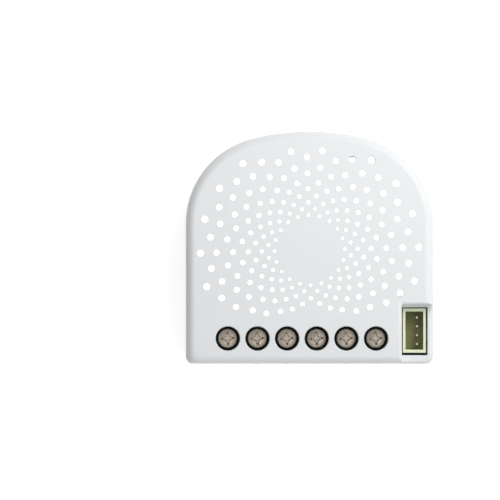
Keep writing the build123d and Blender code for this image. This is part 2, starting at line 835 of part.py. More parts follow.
# Diffuser sheet: lies under the perforated face, clear of the screws, boss, step and legs
with BuildPart() as diffuser_sheet:
    extrude(board_outline(sheet_bottom, wall + sheet_clearance),
            amount=sheet_thickness)
    extrude(pad(-half_width, half_width, -half_length, row_y + access_hole / 2 + sheet_foot_gap,
                sheet_bottom),
            amount=sheet_thickness, mode=Mode.SUBTRACT)
    extrude(pad(step_left_x - step_wall - sheet_clearance, half_width,
                -half_length, step_top_y + step_wall + sheet_clearance, sheet_bottom),
            amount=sheet_thickness, mode=Mode.SUBTRACT)
    for left, right, low, high in leg_areas:
        extrude(pad(left - sheet_clearance, right + sheet_clearance,
                    low - sheet_clearance, high + sheet_clearance, sheet_bottom),
                amount=sheet_thickness, mode=Mode.SUBTRACT)
    with BuildSketch(Plane.XY.offset(sheet_bottom)) as boss_hole:
        with Locations(((led_x + button_x) / 2, (led_y + button_y) / 2)):
            Rectangle(boss_width + 2 * sheet_hole_gap + button_x - led_x,
                      boss_width + 2 * sheet_hole_gap)
    extrude(amount=sheet_thickness, mode=Mode.SUBTRACT)

diffuser_sheet.part.label = "diffuser_sheet"
export_step(diffuser_sheet.part, "parts/diffuser_sheet.step")

# Light pipe and action button, guided in the boss
with BuildPart() as light_pipe:
    with BuildSketch(Plane.XY.offset(control_top + led_height + pipe_air_gap)) as pipe:
        with Locations((led_x, led_y)):
            RegularPolygon(led_hole / 2 - pipe_gap, guide_hole_sides)
    extrude(amount=case_depth - pipe_recess - control_top - led_height - pipe_air_gap)

light_pipe.part.label = "light_pipe"
export_step(light_pipe.part, "parts/light_pipe.step")

boss_bottom = face_under - boss_height
with BuildPart() as action_button:
    with BuildSketch(Plane.XY.offset(plunger_top)) as button_stem:
        with Locations((button_x, button_y)):
            RegularPolygon(button_hole / 2 - pin_gap, guide_hole_sides)
    extrude(amount=case_depth - pin_recess - plunger_top)
    with BuildSketch(Plane.XY.offset(boss_bottom - button_stop_gap)) as button_flange:
        with Locations((button_x, button_y)):
            RegularPolygon(button_flange_diameter / 2, coil_sides)
    extrude(amount=-button_flange_height)

action_button.part.label = "action_button"
export_step(action_button.part, "parts/action_button.step")

with BuildPart() as switch_body:
    extrude(pad(button_x - switch_length / 2, button_x + switch_length / 2,
                button_y - switch_width / 2, button_y + switch_width / 2, control_top),
            amount=switch_height)
    extrude(pin_areas([(button_x, button_y)], plunger_size + 2 * plunger_gap,
                      plunger_size + 2 * plunger_gap, control_top + switch_height - plunger_well),
            amount=plunger_well, mode=Mode.SUBTRACT)

switch_body.part.label = "switch_body"
export_step(switch_body.part, "parts/switch_body.step")

with BuildPart() as switch_plunger:
    extrude(pin_areas([(button_x, button_y)], plunger_size, plunger_size,
                      control_top + switch_height - plunger_hidden),
            amount=plunger_hidden + plunger_rise)

switch_plunger.part.label = "switch_plunger"
export_step(switch_plunger.part, "parts/switch_plunger.step")

with BuildPart() as status_led:
    extrude(pin_areas([(led_x, led_y)], led_length, led_width, control_top), amount=led_height)

status_led.part.label = "status_led"
export_step(status_led.part, "parts/status_led.step")

# Relay cover and base
with BuildPart() as relay_cover:
    extrude(pad(relay_left, relay_right, relay_low_y, relay_high_y, main_top),
            amount=relay_height)
    extrude(pad(relay_left + relay_wall, relay_right - relay_wall,
                relay_low_y + relay_wall, relay_high_y - relay_wall, main_top),
            amount=relay_height - relay_wall, mode=Mode.SUBTRACT)

relay_cover.part.label = "relay_cover"
export_step(relay_cover.part, "parts/relay_cover.step")

with BuildPart() as relay_base:
    extrude(pad(relay_left + relay_wall + relay_base_gap,
                relay_right - relay_wall - relay_base_gap,
                relay_low_y + relay_wall + relay_base_gap,
                relay_high_y - relay_wall - relay_base_gap, base_low),
            amount=relay_base_thickness)
    extrude(pin_areas(fixed_places, fixed_strip_thickness, fixed_strip_width, base_low),
            amount=relay_base_thickness, mode=Mode.SUBTRACT)
    extrude(pin_areas(coil_pin_places, coil_pin, coil_pin, base_low),
            amount=relay_base_thickness, mode=Mode.SUBTRACT)

relay_base.part.label = "relay_base"
export_step(relay_base.part, "parts/relay_base.step")

# Relay magnet: bobbin, winding, core and yoke
with BuildPart() as relay_bobbin:
    with BuildSketch(Plane.YZ.offset(bobbin_left)) as flanges:
        with Locations((coil_y, coil_z)):
            Rectangle(bobbin_width, bobbin_height)
    extrude(amount=bobbin_flange)
    extrude(flanges.sketch.moved(Location((bobbin_length - bobbin_flange, 0, 0))),
            amount=bobbin_flange)
    with BuildSketch(Plane.YZ.offset(bobbin_left)) as tube:
        with Locations((coil_y, coil_z)):
            RegularPolygon(bobbin_tube / 2, coil_sides)
    extrude(amount=bobbin_length)
    with BuildSketch(Plane.YZ.offset(bobbin_left)) as core_bore:
        with Locations((coil_y, coil_z)):
            RegularPolygon(core_diameter / 2 + core_gap, coil_sides)
    extrude(amount=bobbin_length, mode=Mode.SUBTRACT)

relay_bobbin.part.label = "relay_bobbin"
export_step(relay_bobbin.part, "parts/relay_bobbin.step")

with BuildPart() as relay_winding:
    with BuildSketch(Plane.YZ.offset(bobbin_left + bobbin_flange)) as wound:
        with Locations((coil_y, coil_z)):
            RegularPolygon(winding_diameter / 2, coil_sides)
            RegularPolygon(bobbin_tube / 2, coil_sides, mode=Mode.SUBTRACT)
    extrude(amount=bobbin_length - 2 * bobbin_flange)

relay_winding.part.label = "relay_winding"
export_step(relay_winding.part, "parts/relay_winding.step")

with BuildPart() as relay_core:
    with BuildSketch(Plane.YZ.offset(bobbin_left)) as core:
        with Locations((coil_y, coil_z)):
            RegularPolygon(core_diameter / 2, coil_sides)
    extrude(amount=pole_x - bobbin_left)

relay_core.part.label = "relay_core"
export_step(relay_core.part, "parts/relay_core.step")

with BuildPart() as relay_yoke:
    with BuildSketch(Plane.XZ.offset(-coil_y)) as yoke_side:
        with BuildLine():
            Polyline((yoke_left, base_high + yoke_foot_gap), (yoke_left, yoke_high),
                     (yoke_end, yoke_high), (yoke_end, yoke_low),
                     (bobbin_left, yoke_low), (bobbin_left, base_high + yoke_foot_gap),
                     close=True)
        make_face()
    extrude(amount=yoke_width / 2, both=True)

relay_yoke.part.label = "relay_yoke"
export_step(relay_yoke.part, "parts/relay_yoke.step")

# Moving side of the relay: armature, insulating carrier and contact bridge
with BuildPart() as relay_armature:
    extrude(pad(armature_x, carrier_x, coil_y - armature_width / 2, coil_y + armature_width / 2,
                armature_low),
            amount=armature_high - armature_low)

relay_armature.part.label = "relay_armature"
export_step(relay_armature.part, "parts/relay_armature.step")

with BuildPart() as relay_carrier:
    extrude(pad(carrier_x, carrier_x + carrier_thickness,
                coil_y - armature_width * carrier_start_share,
                contact_high_y - carrier_end_gap, armature_low),
            amount=carrier_height)

relay_carrier.part.label = "relay_carrier"
export_step(relay_carrier.part, "parts/relay_carrier.step")

with BuildPart() as relay_bridge:
    extrude(pad(bridge_x, carrier_x, contact_y - bridge_length / 2, contact_y + bridge_length / 2,
                contact_z - bridge_height / 2),
            amount=bridge_height)
    with BuildSketch(Plane.YZ.offset(rivet_face)) as moving_rivets:
        with Locations(*[(y, contact_z) for y in rivet_ys]):
            RegularPolygon(rivet_diameter / 2, polygon_bore_sides)
    extrude(amount=rivet_height)

relay_bridge.part.label = "relay_bridge"
export_step(relay_bridge.part, "parts/relay_bridge.step")

with BuildPart() as relay_fixed_contacts:
    extrude(pin_areas(fixed_places, fixed_strip_thickness, fixed_strip_width, tail_bottom),
            amount=contact_z + bridge_height / 2 + fixed_strip_cover - tail_bottom)
    with BuildSketch(Plane.YZ.offset(fixed_face)) as fixed_rivets:
        with Locations(*[(y, contact_z) for y in rivet_ys]):
            RegularPolygon(rivet_diameter / 2, polygon_bore_sides)
    extrude(amount=-rivet_height)

relay_fixed_contacts.part.label = "relay_fixed_contacts"
export_step(relay_fixed_contacts.part, "parts/relay_fixed_contacts.step")

with BuildPart() as relay_coil_pins:
    extrude(pin_areas(coil_pin_places, coil_pin, coil_pin, tail_bottom),
            amount=bobbin_low - tail_bottom)

relay_coil_pins.part.label = "relay_coil_pins"
export_step(relay_coil_pins.part, "parts/relay_coil_pins.step")

# Mains side: film capacitor, varistor, fuse and metering shunt
capacitor_low_y = relay_high_y + part_spacing
capacitor_left_x = capacitor_right_x - capacitor_length
with BuildPart() as film_capacitor:
    extrude(pad(capacitor_left_x, capacitor_right_x, capacitor_low_y,
                capacitor_low_y + capacitor_width, main_top),
            amount=capacitor_height)

film_capacitor.part.label = "film_capacitor"
export_step(film_capacitor.part, "parts/film_capacitor.step")

varistor_low_y = capacitor_low_y + capacitor_width + part_spacing
varistor_x = (capacitor_left_x + capacitor_right_x) / 2
with BuildPart() as varistor:
    with BuildSketch(Plane.XZ.offset(-varistor_low_y)) as disc:
        with Locations((varistor_x, main_top + varistor_lift + varistor_diameter / 2)):
            RegularPolygon(varistor_diameter / 2, varistor_sides)
    extrude(amount=-varistor_thickness)
    lead_places = [(varistor_x + side * varistor_diameter / 4,
                    varistor_low_y + varistor_thickness / 2) for side in (-1, 1)]
    extrude(pin_areas(lead_places, varistor_lead, varistor_lead, main_top),
            amount=varistor_lift + varistor_diameter / 2)

varistor.part.label = "varistor"
export_step(varistor.part, "parts/varistor.step")

with BuildPart() as fuse:
    extrude(pad(capacitor_left_x - part_spacing - fuse_width, capacitor_left_x - part_spacing,
                capacitor_low_y, capacitor_low_y + fuse_width, main_top),
            amount=fuse_height)
    chamfer(fuse.edges().group_by(Axis.Z)[-1], fuse_corner)

fuse.part.label = "fuse"
export_step(fuse.part, "parts/fuse.step")

link_right_x = link_left_x + link_width
with BuildPart() as metering_shunt:
    extrude(pad(link_right_x + part_spacing, link_right_x + part_spacing + shunt_width,
                link_low_y, link_low_y + shunt_length, main_top),
            amount=shunt_thickness)

metering_shunt.part.label = "metering_shunt"
export_step(metering_shunt.part, "parts/metering_shunt.step")

# Board link: two insulating strips on pins that join the boards
with BuildPart() as link_strips:
    for low, height in ((main_top, link_body_height),
                        (control_bottom - link_body_height, link_body_height)):
        extrude(pad(link_left_x, link_right_x, link_low_y, link_high_y, low), amount=height)
        extrude(pin_areas(link_places, link_pin, link_pin, low), amount=height,
                mode=Mode.SUBTRACT)

link_strips.part.label = "link_strips"
export_step(link_strips.part, "parts/link_strips.step")

with BuildPart() as link_pins:
    extrude(pin_areas(link_places, link_pin, link_pin, tail_bottom),
            amount=control_top + link_pin_reach - tail_bottom)

link_pins.part.label = "link_pins"
export_step(link_pins.part, "parts/link_pins.step")

# Low-voltage supply: two bulk capacitors lying down, transformer, rectifier and chip
bulk_radius = bulk_diameter / 2
bulk_right_x = half_width - leg_inner - bulk_side_gap
bulk_xs = (bulk_right_x - bulk_radius, bulk_right_x - 3 * bulk_radius - part_spacing)
with BuildPart() as bulk_capacitors:
    with BuildSketch(Plane.XZ.offset(-bulk_low_y)) as can_ends:
        with Locations(*[(x, main_top + bulk_radius) for x in bulk_xs]):
            RegularPolygon(bulk_radius, bulk_sides, major_radius=False, rotation=180 / bulk_sides)
    extrude(amount=-bulk_length)

bulk_capacitors.part.label = "bulk_capacitors"
export_step(bulk_capacitors.part, "parts/bulk_capacitors.step")

# Transformer: two E cores that meet round a bobbin
core_mid_x = transformer_left_x + transformer_core_length / 2
core_low_y = transformer_low_y + bobbin_overhang
core_high_y = core_low_y + transformer_core_width
window_top = main_top + transformer_core_height - transformer_yoke
window_bottom = main_top + transformer_yoke
with BuildPart() as transformer_core:
    extrude(pad(transformer_left_x, transformer_left_x + transformer_core_length,
                core_low_y, core_high_y, main_top),
            amount=transformer_core_height)
    for side in (-1, 1):
        window_inner = core_mid_x + side * transformer_centre_leg / 2
        window_outer = core_mid_x + side * (transformer_core_length / 2 - transformer_leg)
        extrude(pad(min(window_inner, window_outer), max(window_inner, window_outer),
                    core_low_y, core_high_y, window_bottom),
                amount=window_top - window_bottom, mode=Mode.SUBTRACT)

transformer_core.part.label = "transformer_core"
export_step(transformer_core.part, "parts/transformer_core.step")

bobbin_left_x = transformer_left_x + transformer_leg + transformer_gap
bobbin_right_x = transformer_left_x + transformer_core_length - transformer_leg - transformer_gap
leg_left_x = core_mid_x - transformer_centre_leg / 2 - transformer_gap
leg_right_x = core_mid_x + transformer_centre_leg / 2 + transformer_gap
with BuildPart() as transformer_bobbin:
    for low in (window_bottom + transformer_gap, window_top - transformer_gap - bobbin_cheek):
        extrude(pad(bobbin_left_x, bobbin_right_x, core_low_y - bobbin_overhang,
                    core_high_y + bobbin_overhang, low),
                amount=bobbin_cheek)
    extrude(pad(leg_left_x, leg_right_x, core_low_y - transformer_gap,
                core_high_y + transformer_gap, window_bottom + transformer_gap),
            amount=window_top - window_bottom - 2 * transformer_gap, mode=Mode.SUBTRACT)

transformer_bobbin.part.label = "transformer_bobbin"
export_step(transformer_bobbin.part, "parts/transformer_bobbin.step")

with BuildPart() as transformer_winding:
    winding_low = window_bottom + transformer_gap + bobbin_cheek
    winding_high = window_top - transformer_gap - bobbin_cheek
    extrude(pad(bobbin_left_x + transformer_gap, bobbin_right_x - transformer_gap,
                core_low_y - bobbin_overhang + transformer_gap,
                core_high_y + bobbin_overhang - transformer_gap, winding_low),
            amount=winding_high - winding_low)
    chamfer(transformer_winding.edges().filter_by(Axis.Z), transformer_leg / 2)
    extrude(pad(leg_left_x, leg_right_x, core_low_y - transformer_gap,
                core_high_y + transformer_gap, winding_low),
            amount=winding_high - winding_low, mode=Mode.SUBTRACT)

transformer_winding.part.label = "transformer_winding"
export_step(transformer_winding.part, "parts/transformer_winding.step")

with BuildPart() as bridge_rectifier:
    extrude(pin_areas([(rectifier_x, rectifier_y)], rectifier_width, rectifier_length, main_top),
            amount=rectifier_height)

bridge_rectifier.part.label = "bridge_rectifier"
export_step(bridge_rectifier.part, "parts/bridge_rectifier.step")

with BuildPart() as supply_chip:
    extrude(pin_areas([(supply_chip_x, supply_chip_y)], supply_chip_length, supply_chip_width,
                      main_top),
            amount=supply_chip_height)

supply_chip.part.label = "supply_chip"
export_step(supply_chip.part, "parts/supply_chip.step")

# Radio board with its shield can and printed antenna
radio_top = control_top + radio_thickness
radio_mid_x = radio_left_x + radio_width / 2
with BuildPart() as radio_board:
    extrude(pad(radio_left_x, radio_left_x + radio_width, radio_low_y,
                radio_low_y + radio_length, control_top),
            amount=radio_thickness)

radio_board.part.label = "radio_board"
export_step(radio_board.part, "parts/radio_board.step")

can_low_y = radio_low_y + can_low_gap
with BuildPart() as shield_can:
    extrude(pad(radio_mid_x - can_width / 2, radio_mid_x + can_width / 2,
                can_low_y, can_low_y + can_length, radio_top),
            amount=can_height)
    extrude(pad(radio_mid_x - can_width / 2 + can_wall, radio_mid_x + can_width / 2 - can_wall,
                can_low_y + can_wall, can_low_y + can_length - can_wall, radio_top),
            amount=can_height - can_wall, mode=Mode.SUBTRACT)

shield_can.part.label = "shield_can"
export_step(shield_can.part, "parts/shield_can.step")

# The antenna folds back and forth in equal steps
antenna_low_y = can_low_y + can_length + antenna_gap
antenna_step = (antenna_length - antenna_track) / (2 * antenna_turns)
with BuildPart() as antenna:
    with BuildSketch(Plane.XY.offset(radio_top)) as track:
        with BuildLine():
            points = []
            for fold in range(2 * antenna_turns + 1):
                fold_x = radio_mid_x - (antenna_length - antenna_track) / 2 + fold * antenna_step
                ends = [(fold_x, antenna_low_y + antenna_track / 2),
                        (fold_x, antenna_low_y + antenna_reach - antenna_track / 2)]
                points += ends if fold % 2 == 0 else ends[::-1]
            Polyline(*points)
            offset(amount=antenna_track / 2, kind=Kind.INTERSECTION)
        make_face()
    extrude(amount=antenna_thickness)

antenna.part.label = "antenna"
export_step(antenna.part, "parts/antenna.step")

# Chips on the control board
with BuildPart() as microcontroller:
    extrude(pin_areas([(micro_x, micro_y)], micro_size, micro_size, control_top),
            amount=micro_height)

microcontroller.part.label = "microcontroller"
export_step(microcontroller.part, "parts/microcontroller.step")

with BuildPart() as crystal:
    extrude(pin_areas([(crystal_x, crystal_y)], crystal_length, crystal_width, control_top),
            amount=crystal_height)

crystal.part.label = "crystal"
export_step(crystal.part, "parts/crystal.step")

chip_places = [(chip_first_x + chip_pitch * i, chip_y) for i in range(chip_count)]
with BuildPart() as chip_parts:
    extrude(pin_areas(chip_places, chip_width, chip_length, control_top), amount=chip_height)

chip_parts.part.label = "chip_parts"
export_step(chip_parts.part, "parts/chip_parts.step")
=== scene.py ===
"""Visual model of the smart relay module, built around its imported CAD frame.

Everything is modelled in millimetres on the frame's own axes and scaled to metres when a piece
is finished, so each object sits at the origin with its place in its mesh. X runs along the
terminal row, Y from the terminal edge up to the crown, and Z from the back to the face.
"""

import logging
import math
from dataclasses import dataclass, field
from enum import Enum

import bmesh
import bpy
from mathutils import Matrix, Vector


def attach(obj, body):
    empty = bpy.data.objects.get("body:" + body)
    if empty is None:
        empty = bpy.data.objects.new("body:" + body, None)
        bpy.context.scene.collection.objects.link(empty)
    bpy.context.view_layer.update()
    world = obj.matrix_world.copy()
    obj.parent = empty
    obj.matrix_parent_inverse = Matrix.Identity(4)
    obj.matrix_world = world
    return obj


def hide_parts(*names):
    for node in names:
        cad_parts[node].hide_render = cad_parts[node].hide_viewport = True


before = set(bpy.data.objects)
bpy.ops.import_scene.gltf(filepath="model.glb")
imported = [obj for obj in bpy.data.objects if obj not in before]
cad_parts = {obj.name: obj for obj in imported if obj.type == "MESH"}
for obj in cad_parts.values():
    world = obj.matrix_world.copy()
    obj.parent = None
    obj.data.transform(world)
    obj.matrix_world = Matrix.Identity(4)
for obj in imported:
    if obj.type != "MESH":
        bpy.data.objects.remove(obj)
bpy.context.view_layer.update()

LOG = logging.getLogger("relay_module")
Shape = bmesh.types.BMesh
Line = list[bmesh.types.BMEdge]
Tree = bpy.types.NodeTree
Socket = bpy.types.NodeSocket
Point = tuple[float, float, float]

# A millimetre in metres; every other length here is in millimetres, unless it says metres
MM = 0.001
# Points nearer than this are one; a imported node's loose triangles lie less exactly
MERGE = 0.0005
NODE_MERGE = 0.002
# Faces of a finished piece that meet at more than this keep a sharp edge
SHARP_DEGREES = 32.0
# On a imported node, what still counts as flat, and what counts as an edge to round
FLAT_DEGREES = 1.0
NODE_EDGE_DEGREES = 40.0
# Share of its length by which an edge has to run along an axis
ALONG = 0.99
# How far a cutter reaches past what it cuts
BEYOND = 1.0
# Distance between closed lines while they are bridged
APART = 10.0
# Width of a wave texture's band at scale 1, in metres
WAVE_BAND = 0.314
# Where a noise spends most of its values, its octaves, and how strongly it stands in relief
NOISE_RANGE = (0.3, 0.7)
NOISE_DETAIL = 2.0
RELIEF_STRENGTH = 0.7

# The terminal row
POLES = 6
POLE_PITCH = 5.0
ROW_X = -1.34
ROW_Y = -15.35
POLE_XS = tuple(ROW_X + POLE_PITCH * (pole - (POLES - 1) / 2) for pole in range(POLES))


class Body(Enum):
    """The CAD bodies that single pieces ride on."""

    MODULE = "module"
    BUTTON = "action_button"


class Combine(Enum):
    """How a tool shape changes the shape it meets."""

    JOIN = "UNION"
    TAKE = "DIFFERENCE"


class Rounded(Enum):
    """What of a shape is rounded."""

    EDGES = "EDGES"
    CORNERS = "VERTICES"


class Axis(Enum):
    """The frame's axes, each with its place in a vector."""

    X = 0
    Y = 1
    Z = 2


def linear(colour: str) -> tuple[float, float, float, float]:
    """Turns an sRGB hex colour into Blender's linear colour.

    Args:
        colour: Six hex digits after a hash.

    Returns:
        Linear red, green, blue and full alpha.
    """
    shares = [int(colour[start:start + 2], 16) / 255 for start in (1, 3, 5)]
    red, green, blue = (share / 12.92 if share <= 0.04045 else ((share + 0.055) / 1.055) ** 2.4
                        for share in shares)
    return red, green, blue, 1.0


def add_node(tree: Tree, kind: str, settings: dict | None = None,
             inputs: dict | None = None) -> bpy.types.Node:
    """Adds one shader node with its settings, values and links.

    Args:
        tree: The tree that gets the node.
        kind: The node's Blender type name.
        settings: Property names and values.
        inputs: Input names or numbers, each with a value or the socket that feeds it.

    Returns:
        The new node.
    """
    node = tree.nodes.new(kind)
    for name, value in (settings or {}).items():
        setattr(node, name, value)
    for key, value in (inputs or {}).items():
        if isinstance(value, Socket):
            tree.links.new(value, node.inputs[key])
        else:
            node.inputs[key].default_value = value
    return node


@dataclass(frozen=True)
class Finish:
    """What every finish shares: two close colours, a roughness range and a fine relief."""

    name: str
    colour: str
    shade: str
    smooth: float = 0.4
    rough: float = 0.5
    # Size of the soft colour patches, then size, depth and stretch of the grain
    patch_mm: float = 8.0
    grain_mm: float = 0.3
    grain_depth_mm: float = 0.003
    stretch: tuple[float, float, float] = (1.0, 1.0, 1.0)

    def optics(self) -> dict:
        """Constant shader values of this kind of material."""
        return {"IOR": 1.5}

    def tone(self, tree: Tree, place: Socket, colour: Socket) -> Socket:
        """The colour after this material's own pattern; plain materials leave it alone."""
        return colour

    def material(self) -> bpy.types.Material:
        """The Blender material, built the first time it is asked for."""
        return bpy.data.materials.get(self.name) or self.build()

    def build(self) -> bpy.types.Material:
        """Builds the node tree.

        Returns:
            The finished material.
        """
        material = bpy.data.materials.new(self.name)
        material.use_nodes = True
        tree = material.node_tree
        tree.nodes.clear()
        place = add_node(tree, "ShaderNodeTexCoord").outputs["Object"]
        along = add_node(tree, "ShaderNodeMapping",
                         inputs={"Vector": place, "Scale": self.stretch}).outputs["Vector"]
        patches, grain = (add_node(tree, "ShaderNodeTexNoise", inputs={
            "Vector": vector, "Scale": 1 / (size * MM), "Detail": NOISE_DETAIL}).outputs[0]
            for vector, size in ((place, self.patch_mm), (along, self.grain_mm)))
        colour = add_node(tree, "ShaderNodeMix", {"data_type": "RGBA"}, {
            0: patches, 6: linear(self.colour), 7: linear(self.shade)}).outputs[2]
        roughness = add_node(tree, "ShaderNodeMapRange", inputs={
            "Value": grain, "From Min": NOISE_RANGE[0], "From Max": NOISE_RANGE[1],
            "To Min": self.smooth, "To Max": self.rough}).outputs["Result"]
        relief = add_node(tree, "ShaderNodeBump", inputs={
            "Strength": RELIEF_STRENGTH, "Distance": self.grain_depth_mm * MM,
            "Height": grain}).outputs["Normal"]
        shader = add_node(tree, "ShaderNodeBsdfPrincipled", inputs={
            "Base Color": self.tone(tree, place, colour), "Roughness": roughness,
            "Normal": relief, **self.optics()})
        add_node(tree, "ShaderNodeOutputMaterial", inputs={"Surface": shader.outputs["BSDF"]})
        return material


@dataclass(frozen=True)
class MouldedPlastic(Finish):
    """Injection-moulded plastic: dyed through, with a faint spark-eroded grain and soft gloss."""

    ior: float = 1.5

    def optics(self) -> dict:
        """Index of the resin."""
        return {"IOR": self.ior}


@dataclass(frozen=True)
class DeepMoulding(MouldedPlastic):
    """Nylon with painted shade: its colour darkens down a well, standing in for the shade that
    falls there.
    """

    # Painted shade colour, the height where it is full, and the height where it is gone
    deep_colour: str = "#9B9B66"
    deep_mm: float = 12.4
    plain_mm: float = 17.3

    def tone(self, tree: Tree, place: Socket, colour: Socket) -> Socket:
        """Goes from the painted shade colour at one height to the own colour at another.

        Args:
            tree: The material's nodes.
            place: Object coordinates.
            colour: The colour so far.

        Returns:
            The new colour.
        """
        height = add_node(tree, "ShaderNodeSeparateXYZ", inputs={"Vector": place}).outputs["Z"]
        share = add_node(tree, "ShaderNodeMapRange", inputs={
            "Value": height, "From Min": self.deep_mm * MM, "From Max": self.plain_mm * MM,
            "To Min": 0.0, "To Max": 1.0}).outputs["Result"]
        # Painted shade: blends towards the shade colour down the well
        return add_node(tree, "ShaderNodeMix", {"data_type": "RGBA"}, {
            0: share, 6: linear(self.deep_colour), 7: colour}).outputs[2]


@dataclass(frozen=True)
class PlatedMetal(Finish):
    """Plated or plain sheet and turned metal: full metallic, with fine rolled or turned marks."""

    def optics(self) -> dict:
        """Metal keeps the default index."""
        return {"Metallic": 1.0}


@dataclass(frozen=True)
class WoundWire(PlatedMetal):
    """Enamelled copper wire laid turn by turn: narrow bright turns with dark lines between."""

    across: Axis = Axis.X
    wire_mm: float = 0.25
    waver: float = 0.4
    gap_colour: str = "#5A2C14"
    metal_share: float = 0.8

    def optics(self) -> dict:
        """Enamel dulls the copper to a partly metallic skin."""
        return {"Metallic": self.metal_share}

    def tone(self, tree: Tree, place: Socket, colour: Socket) -> Socket:
        """Draws the turns as bands, coarser than the real wire, which is too fine to show.

        Args:
            tree: The material's nodes.
            place: Object coordinates.
            colour: The colour so far.

        Returns:
            The new colour.
        """
        turns = add_node(tree, "ShaderNodeTexWave", {"bands_direction": self.across.name}, {
            "Vector": place, "Scale": WAVE_BAND / (self.wire_mm * MM),
            "Distortion": self.waver, "Detail": 1.0}).outputs[0]
        return add_node(tree, "ShaderNodeMix", {"data_type": "RGBA"}, {
            0: turns, 6: linear(self.gap_colour), 7: colour}).outputs[2]


@dataclass(frozen=True)
class WovenLaminate(Finish):
    """Glass-epoxy board under solder mask: the glass weave shows as a faint square pattern."""

    yarn_mm: float = 0.45
    yarn_colour: str = "#3F9A63"
    yarn_show: float = 0.25

    def optics(self) -> dict:
        """Cured solder mask over epoxy."""
        return {"IOR": 1.55, "Coat Weight": 0.3, "Coat Roughness": 0.2}

    def tone(self, tree: Tree, place: Socket, colour: Socket) -> Socket:
        """Lays warp and weft bands over the mask colour.

        Args:
            tree: The material's nodes.
            place: Object coordinates.
            colour: The colour so far.

        Returns:
            The new colour.
        """
        bands = [add_node(tree, "ShaderNodeTexWave", {"bands_direction": way.name}, {
            "Vector": place, "Scale": WAVE_BAND / (self.yarn_mm * MM)}).outputs[0]
            for way in (Axis.X, Axis.Y)]
        weave = add_node(tree, "ShaderNodeMath", {"operation": "MULTIPLY"},
                         {0: bands[0], 1: bands[1]}).outputs[0]
        share = add_node(tree, "ShaderNodeMath", {"operation": "MULTIPLY"},
                         {0: weave, 1: self.yarn_show}).outputs[0]
        return add_node(tree, "ShaderNodeMix", {"data_type": "RGBA"}, {
            0: share, 6: colour, 7: linear(self.yarn_colour)}).outputs[2]


@dataclass(frozen=True)
class GlowingPlastic(MouldedPlastic):
    """Plastic that gives off light of its own: on the opal diffuser and rod it is a painted glow,
    as they are no lamps; on the diode resin it stands for the diode's light.
    """

    glow: float = 0.9

    def optics(self) -> dict:
        """Body with its own light: a painted glow on the opal parts, the diode's light on its
        resin.
        """
        # Painted glow: emission on opal parts that are no lamps
        return {"IOR": self.ior, "Emission Color": linear("#FFFFFF"),
                "Emission Strength": self.glow}


# Moulded white polycarbonate: near-white, very slightly cool, satin
CASE_WHITE = MouldedPlastic("moulded_polycarbonate_white", "#E7E9EA", "#E3E5E7", 0.42, 0.5,
                            16.0, 0.32, 0.002, ior=1.58)
# Opal acrylic sheet and rod: bright and even; the sheet's glow is painted light that makes the
# vents over it read white
OPAL_SHEET = GlowingPlastic("opal_acrylic_sheet_painted_glow", "#F7F8F8", "#F2F4F5", 0.5, 0.6, 10.0, 0.4,
                            0.001, glow=0.9)
# The same acrylic as a polished rod: glossier, with less painted glow
OPAL_ROD = GlowingPlastic("opal_acrylic_rod_painted_glow", "#F4F5F5", "#ECEEEF", 0.2, 0.3, 3.0, 0.2, 0.001,
                          glow=0.35)
# Silkscreen ink: flat grey, slightly rougher than the case
GREY_INK = MouldedPlastic("pad_printed_grey_ink", "#979A9B", "#8E9192", 0.55, 0.7, 1.5, 0.1,
                          0.001)
# Green polyamide: saturated, with a low sheen; painted shade makes it nearly black in the screw
# wells
GREEN_NYLON = DeepMoulding("moulded_polyamide_green_well_shade", "#2FB455", "#28A64A", 0.38, 0.5, 5.0,
                           0.25, 0.004, ior=1.53, deep_colour="#0B3320", deep_mm=16.5,
                           plain_mm=14.4)
# Natural nylon of the pin header: warm ivory, with painted shade that turns it olive down its well
IVORY_NYLON = DeepMoulding("moulded_nylon_ivory_well_shade", "#E4E8CC", "#DCE0C0", 0.35, 0.45, 3.0, 0.2,
                           0.003, ior=1.53)
# Natural nylon of bobbins and sliders: milky cream with a soft sheen
NATURAL_NYLON = MouldedPlastic("moulded_nylon_natural", "#DAD6C4", "#CFC9B4", 0.4, 0.5, 4.0)
# Black polyester of boxes and bases: near-black and satin
BLACK_RESIN = MouldedPlastic("moulded_black_polyester", "#23262A", "#1B1E22", 0.4, 0.55, 5.0)
# Filled epoxy of chips: dark grey and dull, with a fine sandy grain
CHIP_EPOXY = MouldedPlastic("transfer_moulded_epoxy", "#2B2C2E", "#232426", 0.5, 0.65, 2.0, 0.12)
# Polyester box of a film capacitor: warm yellow and fairly glossy
YELLOW_BOX = MouldedPlastic("potted_capacitor_yellow", "#E3B53A", "#D9A92E", 0.3, 0.4, 5.0)
# Epoxy skin of a dipped disc: glossy blue, uneven as a dip leaves it
BLUE_DIP = MouldedPlastic("dipped_epoxy_blue", "#2C57A5", "#244A92", 0.2, 0.35, 3.0, 0.8, 0.03)
# Diode resin: cream, smooth, with a little light in it
LED_RESIN = GlowingPlastic("diode_resin", "#F2EFE0", "#EAE6D4", 0.2, 0.3, 1.0, glow=0.6)
# Sintered ferrite: charcoal, dull and slightly pitted
FERRITE = MouldedPlastic("sintered_ferrite", "#3B3A3C", "#2F2E31", 0.6, 0.75, 2.0, 0.15, 0.008)
# Solder mask over glass cloth: deep green under a thin clear gloss
BOARD_MASK = WovenLaminate("solder_masked_laminate", "#1F6B45", "#1B6240", 0.3, 0.42, 6.0)
# Nickel on steel screws: warm silver with turned marks
SCREW_NICKEL = PlatedMetal("nickel_plated_steel", "#D3C7B9", "#C2B6A8", 0.3, 0.42, 1.6, 0.12,
                           0.004)
# Yellowed zinc on bent strip: warm grey with rolling lines
CAGE_ZINC = PlatedMetal("zinc_plated_strip", "#C4BFA9", "#B4AE97", 0.3, 0.5, 2.5, 0.15, 0.006,
                        (1.0, 0.15, 1.0))
